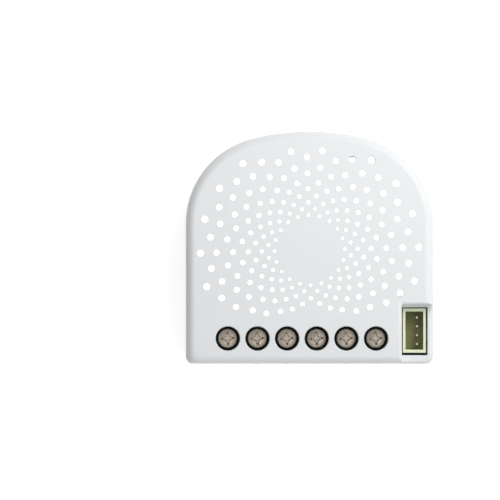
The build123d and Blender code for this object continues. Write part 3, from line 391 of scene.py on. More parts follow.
# Tin on copper bar: pale and bright, with faint drawn lines
TONGUE_TIN = PlatedMetal("tinned_copper_bar", "#E3E6D6", "#D5D9C6", 0.28, 0.42, 2.0, 0.15,
                         0.004, (1.0, 0.15, 1.0))
# Tin on square pins: the brightest metal, nearly smooth
PIN_TIN = PlatedMetal("tinned_square_pin", "#DDDCD2", "#CFCDC1", 0.2, 0.35, 1.0, 0.1, 0.003)
# Annealed soft iron: mid grey and rather dull
SOFT_IRON = PlatedMetal("annealed_soft_iron", "#A3A4A5", "#8F9092", 0.35, 0.5, 3.0, 0.2, 0.006)
# Silver contact alloy: pale and warm, satin
SILVER_ALLOY = PlatedMetal("silver_contact_alloy", "#D9D3C4", "#C6BEAB", 0.3, 0.42, 1.5)
# Drawn aluminium cans: cool silver, streaked along the can
ALUMINIUM = PlatedMetal("drawn_aluminium", "#D3D6D9", "#C4C8CC", 0.22, 0.35, 4.0, 0.2, 0.004,
                        (1.0, 0.1, 1.0))
# Enamelled copper: reddish turns with dark gaps, wound round X
RELAY_WIRE = WoundWire("enamelled_copper_coil", "#C06B33", "#A95A28", 0.25, 0.4, 2.0)
# The same wire in layers up Z
CHOKE_WIRE = WoundWire("enamelled_copper_layers", "#C06B33", "#A95A28", 0.25, 0.4, 2.0,
                       across=Axis.Z)

# Nodes whose CAD shape is kept, by finish
KEPT_NODES: dict[Finish, tuple[str, ...]] = {
    OPAL_SHEET: ("diffuser_sheet",),
    BOARD_MASK: ("main_board", "control_board", "radio_board"),
    BLACK_RESIN: ("switch_body", "relay_cover", "relay_base", "fuse", "link_strips"),
    NATURAL_NYLON: ("switch_plunger", "relay_bobbin", "relay_carrier", "transformer_bobbin"),
    LED_RESIN: ("status_led",),
    RELAY_WIRE: ("relay_winding",),
    CHOKE_WIRE: ("transformer_winding",),
    SOFT_IRON: ("relay_core", "relay_yoke", "relay_armature"),
    SILVER_ALLOY: ("relay_bridge", "relay_fixed_contacts"),
    PIN_TIN: ("relay_coil_pins", "link_pins", "shield_can", "crystal"),
    TONGUE_TIN: ("antenna", "metering_shunt"),
    YELLOW_BOX: ("film_capacitor",),
    BLUE_DIP: ("varistor",),
    ALUMINIUM: ("bulk_capacitors",),
    FERRITE: ("transformer_core",),
    CHIP_EPOXY: ("bridge_rectifier", "supply_chip", "microcontroller", "chip_parts"),
}


def spin_sense() -> int:
    """Which way a positive spin angle turns: 1 if it is anticlockwise seen from above.

    Returns:
        1 or -1.
    """
    probe = bmesh.new()
    corner = probe.verts.new((1, 0, 0))
    made = bmesh.ops.spin(probe, geom=[corner], cent=(0, 0, 0), axis=(0, 0, 1),
                          angle=math.pi / 2, steps=1, use_merge=False)
    end = next(part for part in made["geom_last"] if isinstance(part, bmesh.types.BMVert))
    sense = 1 if end.co.y > 0 else -1
    probe.free()
    return sense


SENSE = spin_sense()


def quarter_turns(steps: int) -> list[float]:
    """Angles of a quarter turn in even steps.

    Args:
        steps: How many steps.

    Returns:
        Radians, from none to a right angle.
    """
    return [math.pi / 2 * step / steps for step in range(steps + 1)]


def in_scene(name: str, data: bpy.types.ID) -> bpy.types.Object:
    """Puts a mesh, text, lamp or camera in the scene.

    Args:
        name: The object's name.
        data: What it holds.

    Returns:
        The new object.
    """
    holder = bpy.data.objects.new(name, data)
    bpy.context.scene.collection.objects.link(holder)
    return holder


class Pen:
    """Draws one closed line at one height: straight runs and arcs, each from the last end."""

    def __init__(self, shape: Shape, x: float, y: float, height: float) -> None:
        """Sets the pen down.

        Args:
            shape: The shape that gets the line.
            x: Where the line starts.
            y: Where the line starts.
            height: The line's own height.
        """
        self.shape = shape
        self.height = height
        self.before = set(shape.edges)
        self.start = shape.verts.new((x, y, height))
        self.tip = self.start

    def line(self, x: float, y: float) -> "Pen":
        """Draws a straight run.

        Args:
            x: Where it ends.
            y: Where it ends.

        Returns:
            The pen, for the next run.
        """
        self.tip = bmesh.ops.extrude_vert_indiv(self.shape, verts=[self.tip])["verts"][0]
        self.tip.co = (x, y, self.height)
        return self

    def arc(self, x: float, y: float, degrees: float, steps: int) -> "Pen":
        """Draws an anticlockwise arc.

        Args:
            x: Its centre.
            y: Its centre.
            degrees: How far it turns.
            steps: Flats along it.

        Returns:
            The pen, for the next run.
        """
        made = bmesh.ops.spin(self.shape, geom=[self.tip], cent=(x, y, self.height),
                              axis=(0, 0, 1), angle=SENSE * math.radians(degrees),
                              steps=steps, use_merge=False)
        self.tip = next(part for part in made["geom_last"]
                        if isinstance(part, bmesh.types.BMVert))
        return self

    def close(self) -> Line:
        """Joins the end to the start.

        Returns:
            The line's edges.
        """
        if (self.tip.co - self.start.co).length < MERGE:
            bmesh.ops.weld_verts(self.shape, targetmap={self.tip: self.start})
        else:
            self.shape.edges.new((self.tip, self.start))
        return [edge for edge in self.shape.edges if edge not in self.before]


def join_lines(shape: Shape, lines: list[Line], heights: list[float],
               ring: bool = False) -> None:
    """Joins closed lines into one skin, then sets each at its height.

    Bridging only pairs lines well when they lie apart, so each line comes drawn at its own
    number times APART.

    Args:
        shape: The shape that holds the lines.
        lines: The edges of each line, in order.
        heights: Where each line belongs.
        ring: Whether the last line joins the first; otherwise both ends are filled.
    """
    for one, other in zip(lines, lines[1:]):
        bmesh.ops.bridge_loops(shape, edges=one + other)
    if ring:
        bmesh.ops.bridge_loops(shape, edges=lines[-1] + lines[0])
    else:
        bmesh.ops.edgeloop_fill(shape, edges=lines[0])
        bmesh.ops.edgeloop_fill(shape, edges=lines[-1])
    for number, (line, height) in enumerate(zip(lines, heights)):
        bmesh.ops.translate(shape, vec=(0, 0, height - number * APART),
                            verts=list({vert for edge in line for vert in edge.verts}))


def add_box(shape: Shape, low: Point, high: Point) -> list[bmesh.types.BMVert]:
    """Adds a box.

    Args:
        shape: The shape that gets it.
        low: Its lowest corner.
        high: Its highest corner.

    Returns:
        Its vertices.
    """
    corner, far = Vector(low), Vector(high)
    place = Matrix.Translation((corner + far) / 2) @ Matrix.Diagonal((*(far - corner), 1))
    return bmesh.ops.create_cube(shape, size=1, matrix=place)["verts"]


def add_turned(shape: Shape, x: float, y: float, profile: list[tuple[float, float]],
               steps: int) -> None:
    """Adds a form turned on an upright axis.

    Args:
        shape: The shape that gets it.
        x: The axis.
        y: The axis.
        profile: Radius and height of each point, from the axis below to the axis above.
        steps: Flats round the axis.
    """
    line = [shape.verts.new((x + radius, y, height)) for radius, height in profile]
    edges = [shape.edges.new(pair) for pair in zip(line, line[1:])]
    bmesh.ops.spin(shape, geom=line + edges, cent=(x, y, 0), axis=(0, 0, 1),
                   angle=2 * math.pi, steps=steps, use_merge=True)


def close_up(shape: Shape) -> Shape:
    """Merges what coincides and turns every face outwards.

    Args:
        shape: The shape to close.

    Returns:
        The same shape.
    """
    bmesh.ops.remove_doubles(shape, verts=shape.verts, dist=MERGE)
    bmesh.ops.recalc_face_normals(shape, faces=shape.faces)
    return shape


def round_off(shape: Shape, parts: list, radius: float, segments: int,
              kind: Rounded = Rounded.EDGES) -> None:
    """Rounds some edges or corners of a shape.

    Args:
        shape: The shape that changes.
        parts: The edges or the corner vertices.
        radius: How far the round reaches.
        segments: Flats across it.
        kind: Edges or corners.
    """
    bmesh.ops.bevel(shape, geom=parts, offset=radius, offset_type="OFFSET", segments=segments,
                    profile=0.5, affect=kind.value, clamp_overlap=True, material=-1)


def hard_edges(shape: Shape, degrees: float) -> Line:
    """Edges of a shape whose faces meet at more than an angle.

    Args:
        shape: The shape.
        degrees: The angle between the faces' directions.

    Returns:
        The edges.
    """
    return [edge for edge in shape.edges if len(edge.link_faces) == 2
            and edge.calc_face_angle(0.0) > math.radians(degrees)]


def run_along(edge: bmesh.types.BMEdge, axis: Axis) -> bool:
    """Whether an edge runs along an axis.

    Args:
        edge: The edge.
        axis: The axis.

    Returns:
        True if it does.
    """
    way = edge.verts[1].co - edge.verts[0].co
    return abs(way[axis.value]) > ALONG * way.length


def combine(base: Shape, tool: Shape, how: Combine) -> Shape:
    """Joins a closed shape to another or takes it away.

    Args:
        base: The shape that changes; it is freed.
        tool: The shape that changes it; it is freed.
        how: Join or take away.

    Returns:
        The result as a new shape.
    """
    holders = []
    for shape in (base, tool):
        mesh = bpy.data.meshes.new("working")
        shape.to_mesh(mesh)
        shape.free()
        holders.append(in_scene("working", mesh))
    change = holders[0].modifiers.new("combine", "BOOLEAN")
    change.operation = how.value
    change.solver = "EXACT"
    change.object = holders[1]
    bpy.context.view_layer.update()
    result = bmesh.new()
    result.from_object(holders[0], bpy.context.evaluated_depsgraph_get())
    for holder in holders:
        mesh = holder.data
        bpy.data.objects.remove(holder)
        bpy.data.meshes.remove(mesh)
    bmesh.ops.remove_doubles(result, verts=result.verts, dist=MERGE)
    return result


def softened(node: str, radius: float, segments: int = 2) -> Shape:
    """A merged copy of a CAD node in millimetres, with its hard edges rounded.

    Args:
        node: The CAD node.
        radius: Round on its edges.
        segments: Flats round each edge.

    Returns:
        The new shape.
    """
    shape = bmesh.new()
    shape.from_mesh(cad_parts[node].data)
    bmesh.ops.scale(shape, vec=(1 / MM, 1 / MM, 1 / MM), verts=shape.verts)
    bmesh.ops.remove_doubles(shape, verts=shape.verts, dist=NODE_MERGE)
    bmesh.ops.dissolve_limit(shape, angle_limit=math.radians(FLAT_DEGREES), verts=shape.verts,
                             edges=shape.edges)
    round_off(shape, hard_edges(shape, NODE_EDGE_DEGREES), radius, segments)
    return shape


def moved_copy(shape: Shape, shift: Point) -> Shape:
    """A copy of a shape, shifted.

    Args:
        shape: The shape; it stays.
        shift: How far along each axis.

    Returns:
        The copy.
    """
    copy = shape.copy()
    bmesh.ops.translate(copy, vec=shift, verts=copy.verts)
    return copy


def make_piece(name: str, shape: Shape, finish: Finish, body: str, slot: str,
               *replaced: str) -> bpy.types.Object:
    """Scales a shape to metres, dresses it and hands it to its body.

    Args:
        name: The piece's name.
        shape: Its form in millimetres; it is freed.
        finish: Its material.
        body: The CAD body it rides on.
        slot: The record's material slot; not used.
        replaced: The CAD nodes it stands for.

    Returns:
        The finished object.
    """
    bmesh.ops.scale(shape, vec=(MM, MM, MM), verts=shape.verts)
    mesh = bpy.data.meshes.new(name)
    shape.to_mesh(mesh)
    shape.free()
    mesh.polygons.foreach_set("use_smooth", [True] * len(mesh.polygons))
    mesh.set_sharp_from_angle(angle=math.radians(SHARP_DEGREES))
    mesh.materials.append(finish.material())
    piece = in_scene(name, mesh)
    weights = piece.modifiers.new("weighted_normals", "WEIGHTED_NORMAL")
    weights.keep_sharp = True
    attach(piece, body)
    if replaced:
        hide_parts(*replaced)
    LOG.info("%s: %d faces on %s", name, len(mesh.polygons), body)
    return piece


@dataclass
class CaseOutline:
    """Plan of the case: a shallow crown, two shoulders, straight sides and small foot corners."""

    half_width: float = 20.998
    half_length: float = 19.748
    crown_top: float = 19.742
    crown_radius: float = 39.6
    shoulder_radius: float = 15.0
    crown_steps: int = 44
    shoulder_steps: int = 30
    foot_steps: int = 7

    def draw(self, shape: Shape, height: float, inset: float, foot: float) -> Line:
        """Draws the outline at a height.

        Args:
            shape: The shape that gets the line.
            height: Its height.
            inset: How far it lies inside the largest outline.
            foot: Radius of the two corners at the terminal edge.

        Returns:
            The line's edges.
        """
        crown_y = self.crown_top - self.crown_radius
        shoulder_x = self.half_width - self.shoulder_radius
        shoulder_y = crown_y + math.sqrt((self.crown_radius - self.shoulder_radius) ** 2
                                         - shoulder_x ** 2)
        lean = math.degrees(math.atan2(shoulder_x, shoulder_y - crown_y))
        side, low = self.half_width - inset, inset - self.half_length
        pen = Pen(shape, side, low + foot, height)
        pen.line(side, shoulder_y)
        pen.arc(shoulder_x, shoulder_y, 90 - lean, self.shoulder_steps)
        pen.arc(0, crown_y, 2 * lean, self.crown_steps)
        pen.arc(-shoulder_x, shoulder_y, 90 - lean, self.shoulder_steps)
        pen.line(-side, low + foot)
        pen.arc(foot - side, low + foot, 90, self.foot_steps)
        pen.line(side - foot, low)
        pen.arc(side - foot, low + foot, 90, self.foot_steps)
        return pen.close()

    def stack(self, shape: Shape, levels: list[Point], ring: bool = False) -> None:
        """Joins outlines at several levels into one skin.

        Args:
            shape: The shape that gets the skin.
            levels: Height, inset and foot radius of each outline.
            ring: Whether the last outline joins the first; otherwise both ends are filled.
        """
        lines = [self.draw(shape, number * APART, inset, foot)
                 for number, (_, inset, foot) in enumerate(levels)]
        join_lines(shape, lines, [height for height, _, _ in levels], ring)


@dataclass
class Case:
    """The two moulded shells: a perforated front cover and a shallow rear tray."""

    outline: CaseOutline = field(default_factory=CaseOutline)
    depth: float = 20.6
    parting: float = 6.5
    groove: float = 0.1
    draft: float = 0.15
    foot: float = 1.2
    inner_foot: float = 0.5
    wall: float = 1.2
    ceiling: float = 19.2
    floor: float = 1.3
    face_round: float = 1.5
    back_round: float = 1.0
    round_steps: int = 8
    lip_top: float = 7.9
    lip_outer: float = 0.65
    rebate: float = 0.6
    catch_ys: tuple[float, float] = (-13.035, 0.395)
    # Left, right and top of the terminal window
    window: tuple[float, float, float] = (-16.835, 14.155, 13.3)
    window_low: float = 4.2
    step_left: float = 15.5
    step_top: float = -9.6
    step_floor: float = 17.4
    step_wall: float = 1.2
    step_round: float = 0.7
    step_corner: float = 0.45
    step_edge_round: float = 0.6
    # Left, right, low and high of the header's hole and of each leg; the boss adds its bottom
    header_hole: tuple[float, float, float, float] = (15.585, 19.92, -18.19, -10.09)
    legs: tuple[tuple[float, float, float, float], ...] = (
        (-19.65, -18.55, -12.6, -9.6), (18.55, 19.65, -4.5, -1.5), (-1.9, 1.1, 16.2, 17.3))
    leg_foot: float = 4.4
    boss: tuple[float, float, float, float, float] = (5.69, 11.96, 13.24, 16.34, 15.0)
    # Play round the catches and behind the window, and what keeps a cutter's faces off a wall
    slack: float = 0.1
    hair: float = 0.01
    corner_steps: int = 6
    edge_steps: int = 5
    edge_share: float = 0.9
    # Snap catches and their pockets: half length, lowest and highest, inner and outer reach
    catch_half: float = 2.0
    catch_levels: tuple[float, float] = (6.85, 7.55)
    catch_reach: tuple[float, float] = (20.15, 20.55)
    pocket_reach: tuple[float, float] = (19.7, 20.7)
    # Ribs in the tray: place, half thickness and half length, top
    rib_x: float = 12.0
    rib_half: tuple[float, float] = (0.7, 9.0)
    rib_top: float = 2.8

    def edge_levels(self, start: float, radius: float, way: int) -> list[Point]:
        """Outlines that turn an outer edge, from the drafted wall to a flat face.

        Args:
            start: Height at which the wall ends.
            radius: Round of the edge.
            way: 1 to turn upwards, -1 to turn downwards.

        Returns:
            Height, inset and foot radius of each outline.
        """
        return [(start + way * radius * math.sin(turn),
                 self.draft + radius * (1 - math.cos(turn)), self.foot)
                for turn in quarter_turns(self.round_steps)]

    def front_skin(self) -> Shape:
        """The front cover before anything is joined or cut.

        Returns:
            The closed skin.
        """
        shape = bmesh.new()
        rebate_top = self.lip_top + self.rebate - self.lip_outer + 2 * self.groove
        levels = [(self.ceiling, self.wall, self.inner_foot),
                  (rebate_top, self.wall, self.inner_foot),
                  (rebate_top, self.rebate, self.inner_foot),
                  (self.parting, self.rebate, self.inner_foot),
                  (self.parting, self.groove, self.foot),
                  (self.parting + self.groove, 0.0, self.foot),
                  *self.edge_levels(self.depth - self.face_round, self.face_round, 1)]
        self.outline.stack(shape, levels)
        return close_up(shape)

    def recess(self) -> Shape:
        """What is cut away above the stepped corner: square walls that flare at the face.

        Returns:
            The cutter.
        """
        shape = bmesh.new()
        rim = self.depth - self.step_round
        levels = [(self.step_floor, 0.0)]
        levels += [(rim + self.step_round * math.sin(turn),
                    self.step_round * (1 - math.cos(turn)))
                   for turn in quarter_turns(self.round_steps)]
        levels.append((self.depth + BEYOND, self.step_round))
        right, low = self.outline.half_width + BEYOND, -self.outline.half_length - BEYOND
        lines = []
        for number, (_, flare) in enumerate(levels):
            left, top = self.step_left - flare, self.step_top + flare
            pen = Pen(shape, right, low, number * APART)
            pen.line(right, top).line(left + self.step_corner, top)
            pen.arc(left + self.step_corner, top - self.step_corner, 90, self.corner_steps)
            pen.line(left, low)
            lines.append(pen.close())
        join_lines(shape, lines, [height for height, _ in levels])
        return close_up(shape)

    def step_edge(self) -> Shape:
        """The sliver that rounds the outer edge of the step's floor.

        Returns:
            The cutter.
        """
        shape = bmesh.new()
        radius = self.step_edge_round
        mid = self.step_floor - radius
        levels = [(mid + radius * math.cos(turn),
                   self.draft * self.edge_share + radius * (1 - math.sin(turn)), self.foot)
                  for turn in quarter_turns(self.edge_steps)]
        levels += [(mid, -BEYOND, self.foot + BEYOND),
                   (self.step_floor + BEYOND / 2, -BEYOND, self.foot + BEYOND),
                   (self.step_floor + BEYOND / 2, levels[0][1], self.foot)]
        self.outline.stack(shape, levels, ring=True)
        for place, way in (((self.step_left + self.hair, 0, 0), (1, 0, 0)),
                           ((0, self.step_top - self.hair, 0), (0, -1, 0))):
            bmesh.ops.bisect_plane(shape, geom=[*shape.verts, *shape.edges, *shape.faces],
                                   plane_co=place, plane_no=way, clear_inner=True)
            bmesh.ops.holes_fill(shape, edges=shape.edges, sides=0)
        return close_up(shape)

    def additions(self) -> Shape:
        """Walls under the stepped corner, the guide boss and the board legs.

        Returns:
            Their blocks, as one shape.
        """
        shape = bmesh.new()
        into_face = self.ceiling + self.face_round / 2
        add_box(shape, (self.step_left - self.step_wall, -self.outline.half_length + self.wall / 2,
                        self.step_floor - self.step_wall),
                (self.outline.half_width - self.wall / 2, self.step_top + self.step_wall,
                 into_face))
        left, right, low, high, bottom = self.boss
        add_box(shape, (left, low, bottom), (right, high, into_face))
        for left, right, low, high in self.legs:
            add_box(shape, (left, low, self.leg_foot), (right, high, into_face))
        return close_up(shape)

    def catches(self, shape: Shape, inner: float, outer: float, slack: float) -> None:
        """Adds the blocks of the four snap catches or of their pockets.

        Args:
            shape: The shape that gets them.
            inner: How far from the middle a block starts.
            outer: How far from the middle it ends.
            slack: How much larger than a catch it is, all round.
        """
        for side in (-1, 1):
            for y in self.catch_ys:
                near, far = sorted((side * inner, side * outer))
                reach = self.catch_half + slack
                add_box(shape, (near, y - reach, self.catch_levels[0] - slack),
                        (far, y + reach, self.catch_levels[1] + slack))

    def window_box(self, shape: Shape, low: float, high: float) -> None:
        """Adds the block that opens the terminal window in a shell's wall.

        Args:
            shape: The shape that gets it.
            low: Where the opening starts.
            high: Where it ends.
        """
        left, right, _ = self.window
        front = -self.outline.half_length
        add_box(shape, (left, front - BEYOND, low), (right, front + self.wall + self.slack, high))

    def cuts(self, vents: "Vents") -> Shape:
        """Everything that is cut through the front cover in one go.

        Args:
            vents: The holes in the face.

        Returns:
            The cutter.
        """
        shape = bmesh.new()
        left, right, low, high = self.header_hole
        add_box(shape, (left, low, self.step_floor - self.step_wall - BEYOND),
                (right, high, self.step_floor + BEYOND / 2))
        self.window_box(shape, self.parting - BEYOND, self.window[2])
        self.catches(shape, *self.pocket_reach, self.slack)
        vents.add_cutters(shape, self.depth, self.ceiling)
        return close_up(shape)

    def build_front(self, vents: "Vents") -> None:
        """Builds and dresses the front cover.

        Args:
            vents: The holes in its face.
        """
        shape = combine(self.front_skin(), self.additions(), Combine.JOIN)
        shape = combine(shape, self.recess(), Combine.TAKE)
        shape = combine(shape, self.step_edge(), Combine.TAKE)
        shape = combine(shape, self.cuts(vents), Combine.TAKE)
        make_piece("case_front_shell", shape, CASE_WHITE, Body.MODULE.value, "case_white",
                   "front_cover")

    def build_rear(self) -> None:
        """Builds and dresses the rear tray."""
        shape = bmesh.new()
        self.outline.stack(shape, [
            (self.floor, self.wall, self.inner_foot), (self.lip_top, self.wall, self.inner_foot),
            (self.lip_top, self.lip_outer, self.inner_foot),
            (self.parting, self.lip_outer, self.inner_foot),
            (self.parting, self.groove, self.foot),
            (self.parting - self.groove, 0.0, self.foot),
            *self.edge_levels(self.back_round, self.back_round, -1)])
        close_up(shape)
        extra = bmesh.new()
        thick, long = self.rib_half
        for middle in (-self.rib_x, self.rib_x):
            add_box(extra, (middle - thick, -long, self.floor / 2),
                    (middle + thick, long, self.rib_top))
        self.catches(extra, *self.catch_reach, 0.0)
        shape = combine(shape, close_up(extra), Combine.JOIN)
        opening = bmesh.new()
        self.window_box(opening, self.window_low, self.lip_top + BEYOND)
        shape = combine(shape, close_up(opening), Combine.TAKE)
        make_piece("case_rear_shell", shape, CASE_WHITE, Body.MODULE.value, "case_white",
                   "rear_cover")


@dataclass
class Vents:
    """Holes in the face: rings of vents that widen outwards, screw holes and two guide holes."""

    centre_y: float = -0.43
    phase: float = 1.6
    positions: int = 20
    first_radius: float = 5.93
    # Distance of each ring from the one inside it
    ring_steps: tuple[float, ...] = (0, 1.08, 1.08, 1.09, 1.18, 1.09, 1.48, 1.07, 1.69, 1.18, 1.55)
    # Diameter of the innermost and of the outermost vents
    small: float = 0.57
    large: float = 1.13
    # The gap over the terminals lies round this half position and widens from this ring out
    gap_step: int = 30
    gap_first_ring: int = 4
    # Ring and half position of single vents left out
    left_out: tuple[tuple[int, int], ...] = ((10, 8), (10, 10), (10, 12), (9, 7), (10, 6))
    # X, Y and radius of the two guide holes
    pipe_hole: tuple[float, float, float] = (7.24, 14.81, 0.62)
    button_hole: tuple[float, float, float] = (10.41, 14.77, 0.70)
    boss_bottom: float = 15.0
    rim: float = 0.03
    flats: int = 18
    guide_flats: int = 32
    screw_hole: float = 2.05
    screw_rim: float = 0.12
    screw_flats: int = 56
    under: float = 0.2

    def places(self) -> list[Point]:
        """X, Y and radius of each vent.

        Returns:
            One entry for each vent.
        """
        made = []
        for ring in range(len(self.ring_steps)):
            distance = self.first_radius + sum(self.ring_steps[:ring + 1])
            share = ring / (len(self.ring_steps) - 1)
            radius = (self.small + (self.large - self.small) * share) / 2
            for step in range(ring % 2, 2 * self.positions, 2):
                if (abs(step - self.gap_step) <= ring - self.gap_first_ring
                        or (ring, step) in self.left_out):
                    continue
                angle = math.radians(self.phase + step * 180 / self.positions)
                made.append((distance * math.cos(angle),
                             self.centre_y + distance * math.sin(angle), radius))
        return made

    def add_cutters(self, shape: Shape, top: float, ceiling: float) -> None:
        """Adds one turned cutter for each hole, flared where it meets the face.

        Args:
            shape: The shape that gets them.
            top: Height of the face.
            ceiling: Height of its inside.
        """
        low = ceiling - self.under
        holes = [(x, y, radius, low, self.rim, self.flats) for x, y, radius in self.places()]
        holes += [(*guide, self.boss_bottom - BEYOND, self.rim, self.guide_flats)
                  for guide in (self.pipe_hole, self.button_hole)]
        holes += [(x, ROW_Y, self.screw_hole, low, self.screw_rim, self.screw_flats)
                  for x in POLE_XS]
        for x, y, radius, bottom, rim, flats in holes:
            add_turned(shape, x, y, [(0, bottom), (radius, bottom), (radius, top - rim),
                                     (radius + 2 * rim, top + rim), (0, top + rim)], flats)


@dataclass
class TerminalScrew:
    """A cheese-head clamp screw with a cross recess."""

    head_radius: float = 1.75
    head_top: float = 18.3
    head_under: float = 16.7
    dome: float = 0.15
    edge: float = 0.26
    shank_radius: float = 1.25
    tip: float = 10.52
    thread_top: float = 14.2
    pitch: float = 0.5
    flats: int = 64
    recess_reach: float = 1.14
    recess_slot: float = 0.4
    recess_hollow: float = 0.7
    recess_turn: float = 4.0
    # Drop of each step down the recess, and the share of the outline left there
    recess_steps: tuple[tuple[float, float], ...] = ((0.08, 0.98), (0.8, 0.72), (0.1, 0.95))
    recess_above: float = 0.05
    hollow_steps: int = 6
    wing_round: float = 0.14
    wing_steps: int = 3
    # How much the point narrows, and over what height
    point: tuple[float, float] = (0.15, 0.2)
    thread_depth: float = 0.18
    thread_start: float = 0.3
    # Where the crest starts and ends and the root comes back, above each turn's start
    thread_flanks: tuple[float, float, float] = (0.2, 0.28, 0.46)
    thread_end: float = 0.1
    edge_steps: int = 5
    dome_steps: int = 7

    def blank(self) -> Shape:
        """The turned blank: threaded shank, head with a rounded rim and a low dome.

        Returns:
            The blank on the Z axis.
        """
        shape = bmesh.new()
        crest, root = self.shank_radius, self.shank_radius - self.thread_depth
        narrowed, rise = self.point
        profile = [(0, self.tip), (root - narrowed, self.tip), (root, self.tip + rise)]
        height = self.tip + self.thread_start
        while height + self.pitch < self.thread_top:
            profile += [(radius, height + flank) for radius, flank in zip(
                (root, crest, crest, root), (0.0, *self.thread_flanks))]
            height += self.pitch
        profile += [(crest, height + self.thread_end), (crest, self.head_under),
                    (self.head_radius, self.head_under)]
        brim = self.head_top - self.dome
        profile += [(self.head_radius - self.edge * (1 - math.cos(turn)),
                     brim - self.edge * (1 - math.sin(turn)))
                    for turn in quarter_turns(self.edge_steps)]
        flat = self.head_radius - self.edge
        for step in range(1, self.dome_steps + 1):
            radius = flat * (1 - step / self.dome_steps)
            profile.append((radius, brim + self.dome * (1 - (radius / flat) ** 2)))
        add_turned(shape, 0, 0, profile, self.flats)
        return close_up(shape)

    def recess(self) -> Shape:
        """The cross recess: four wings with hollow corners that narrow as they go down.

        Returns:
            The cutter on the Z axis.
        """
        shape = bmesh.new()
        half, reach = self.recess_slot / 2, self.recess_reach
        top = self.head_top + self.recess_above
        corners = []
        for quarter in range(4):
            turn = Matrix.Rotation(math.radians(90 * quarter + self.recess_turn), 3, "Z")
            corners += [shape.verts.new(turn @ Vector(place)) for place in (
                (reach, -half, top), (reach, half, top), (half, half, top))]
        shape.faces.new(corners)
        round_off(shape, corners[2::3], self.recess_hollow, self.hollow_steps, Rounded.CORNERS)
        tips = [vert for vert in shape.verts if vert.co.xy.length > reach]
        round_off(shape, tips, self.wing_round, self.wing_steps, Rounded.CORNERS)
        cap = shape.faces[:][0]
        for number, (drop, share) in enumerate(self.recess_steps):
            made = bmesh.ops.extrude_face_region(shape, geom=[cap], use_keep_orig=True)["geom"]
            if number:
                bmesh.ops.delete(shape, geom=[cap], context="FACES_ONLY")
            cap = next(part for part in made if isinstance(part, bmesh.types.BMFace))
            bmesh.ops.translate(shape, vec=(0, 0, -drop), verts=cap.verts)
            bmesh.ops.scale(shape, vec=(share, share, 1), verts=cap.verts)
        return close_up(shape)

    def build(self) -> None:
        """Builds one screw and sets a copy at each pole."""
        screw = combine(self.blank(), self.recess(), Combine.TAKE)
        for number, x in enumerate(POLE_XS, start=1):
            make_piece(f"clamp_screw_{number}", moved_copy(screw, (x, ROW_Y, 0)),
                       SCREW_NICKEL, f"screw_{number}", "screw_nickel",
                       f"terminal_screw_{number}")
        screw.free()


@dataclass
class RisingCage:
    """A bent clamp cage: an open frame with rounded lower corners and a tapped roof."""

    half_width: float = 1.775
    low: float = 5.41
    high: float = 11.46
    front: float = -17.3
    back: float = -13.4
    side: float = 0.5
    floor: float = 0.83
    roof: float = 0.94
    lower_round: float = 0.6
    upper_round: float = 0.18
    inner_round: float = 0.5
    rim: float = 0.05
    hole: float = 1.35
    hole_flats: int = 40
    hole_past: float = 0.3
    bend_steps: int = 6
    upper_steps: int = 3
    rim_steps: int = 2
    rim_degrees: float = 50.0

    def frame_block(self, grow: float) -> Shape:
        """The outer block, or with a grow the block of its opening.

        Args:
            grow: How far the block of the opening reaches past the cage; 0 for the outer block.

        Returns:
            The block.
        """
        shape = bmesh.new()
        inner = grow > 0
        half = self.half_width - (self.side if inner else 0)
        low = self.low + (self.floor if inner else 0)
        high = self.high - (self.roof if inner else 0)
        add_box(shape, (-half, self.front - grow, low), (half, self.back + grow, high))
        lower = [edge for edge in shape.edges
                 if run_along(edge, Axis.Y) and edge.verts[0].co.z < low + MERGE]
        round_off(shape, lower, self.inner_round if inner else self.lower_round,
                  self.bend_steps)
        upper = [edge for edge in shape.edges
                 if run_along(edge, Axis.Y) and edge.verts[0].co.z > high - MERGE
                 and abs(edge.verts[0].co.x) > half - MERGE]
        round_off(shape, upper, self.upper_round, self.upper_steps)
        return close_up(shape)

    def build(self) -> None:
        """Builds one cage and sets a copy at each pole."""
        cage = combine(self.frame_block(0), self.frame_block(BEYOND), Combine.TAKE)
        bore = bmesh.new()
        under, over = self.high - self.roof - self.hole_past, self.high + self.hole_past
        add_turned(bore, 0, ROW_Y, [(0, under), (self.hole, under), (self.hole, over),
                                    (0, over)], self.hole_flats)
        cage = combine(cage, close_up(bore), Combine.TAKE)
        round_off(cage, hard_edges(cage, self.rim_degrees), self.rim, self.rim_steps)
        for number, x in enumerate(POLE_XS, start=1):
            make_piece(f"rising_cage_{number}", moved_copy(cage, (x, 0, 0)), CAGE_ZINC,
                       f"cage_{number}", "cage_zinc", f"clamp_cage_{number}")
        cage.free()


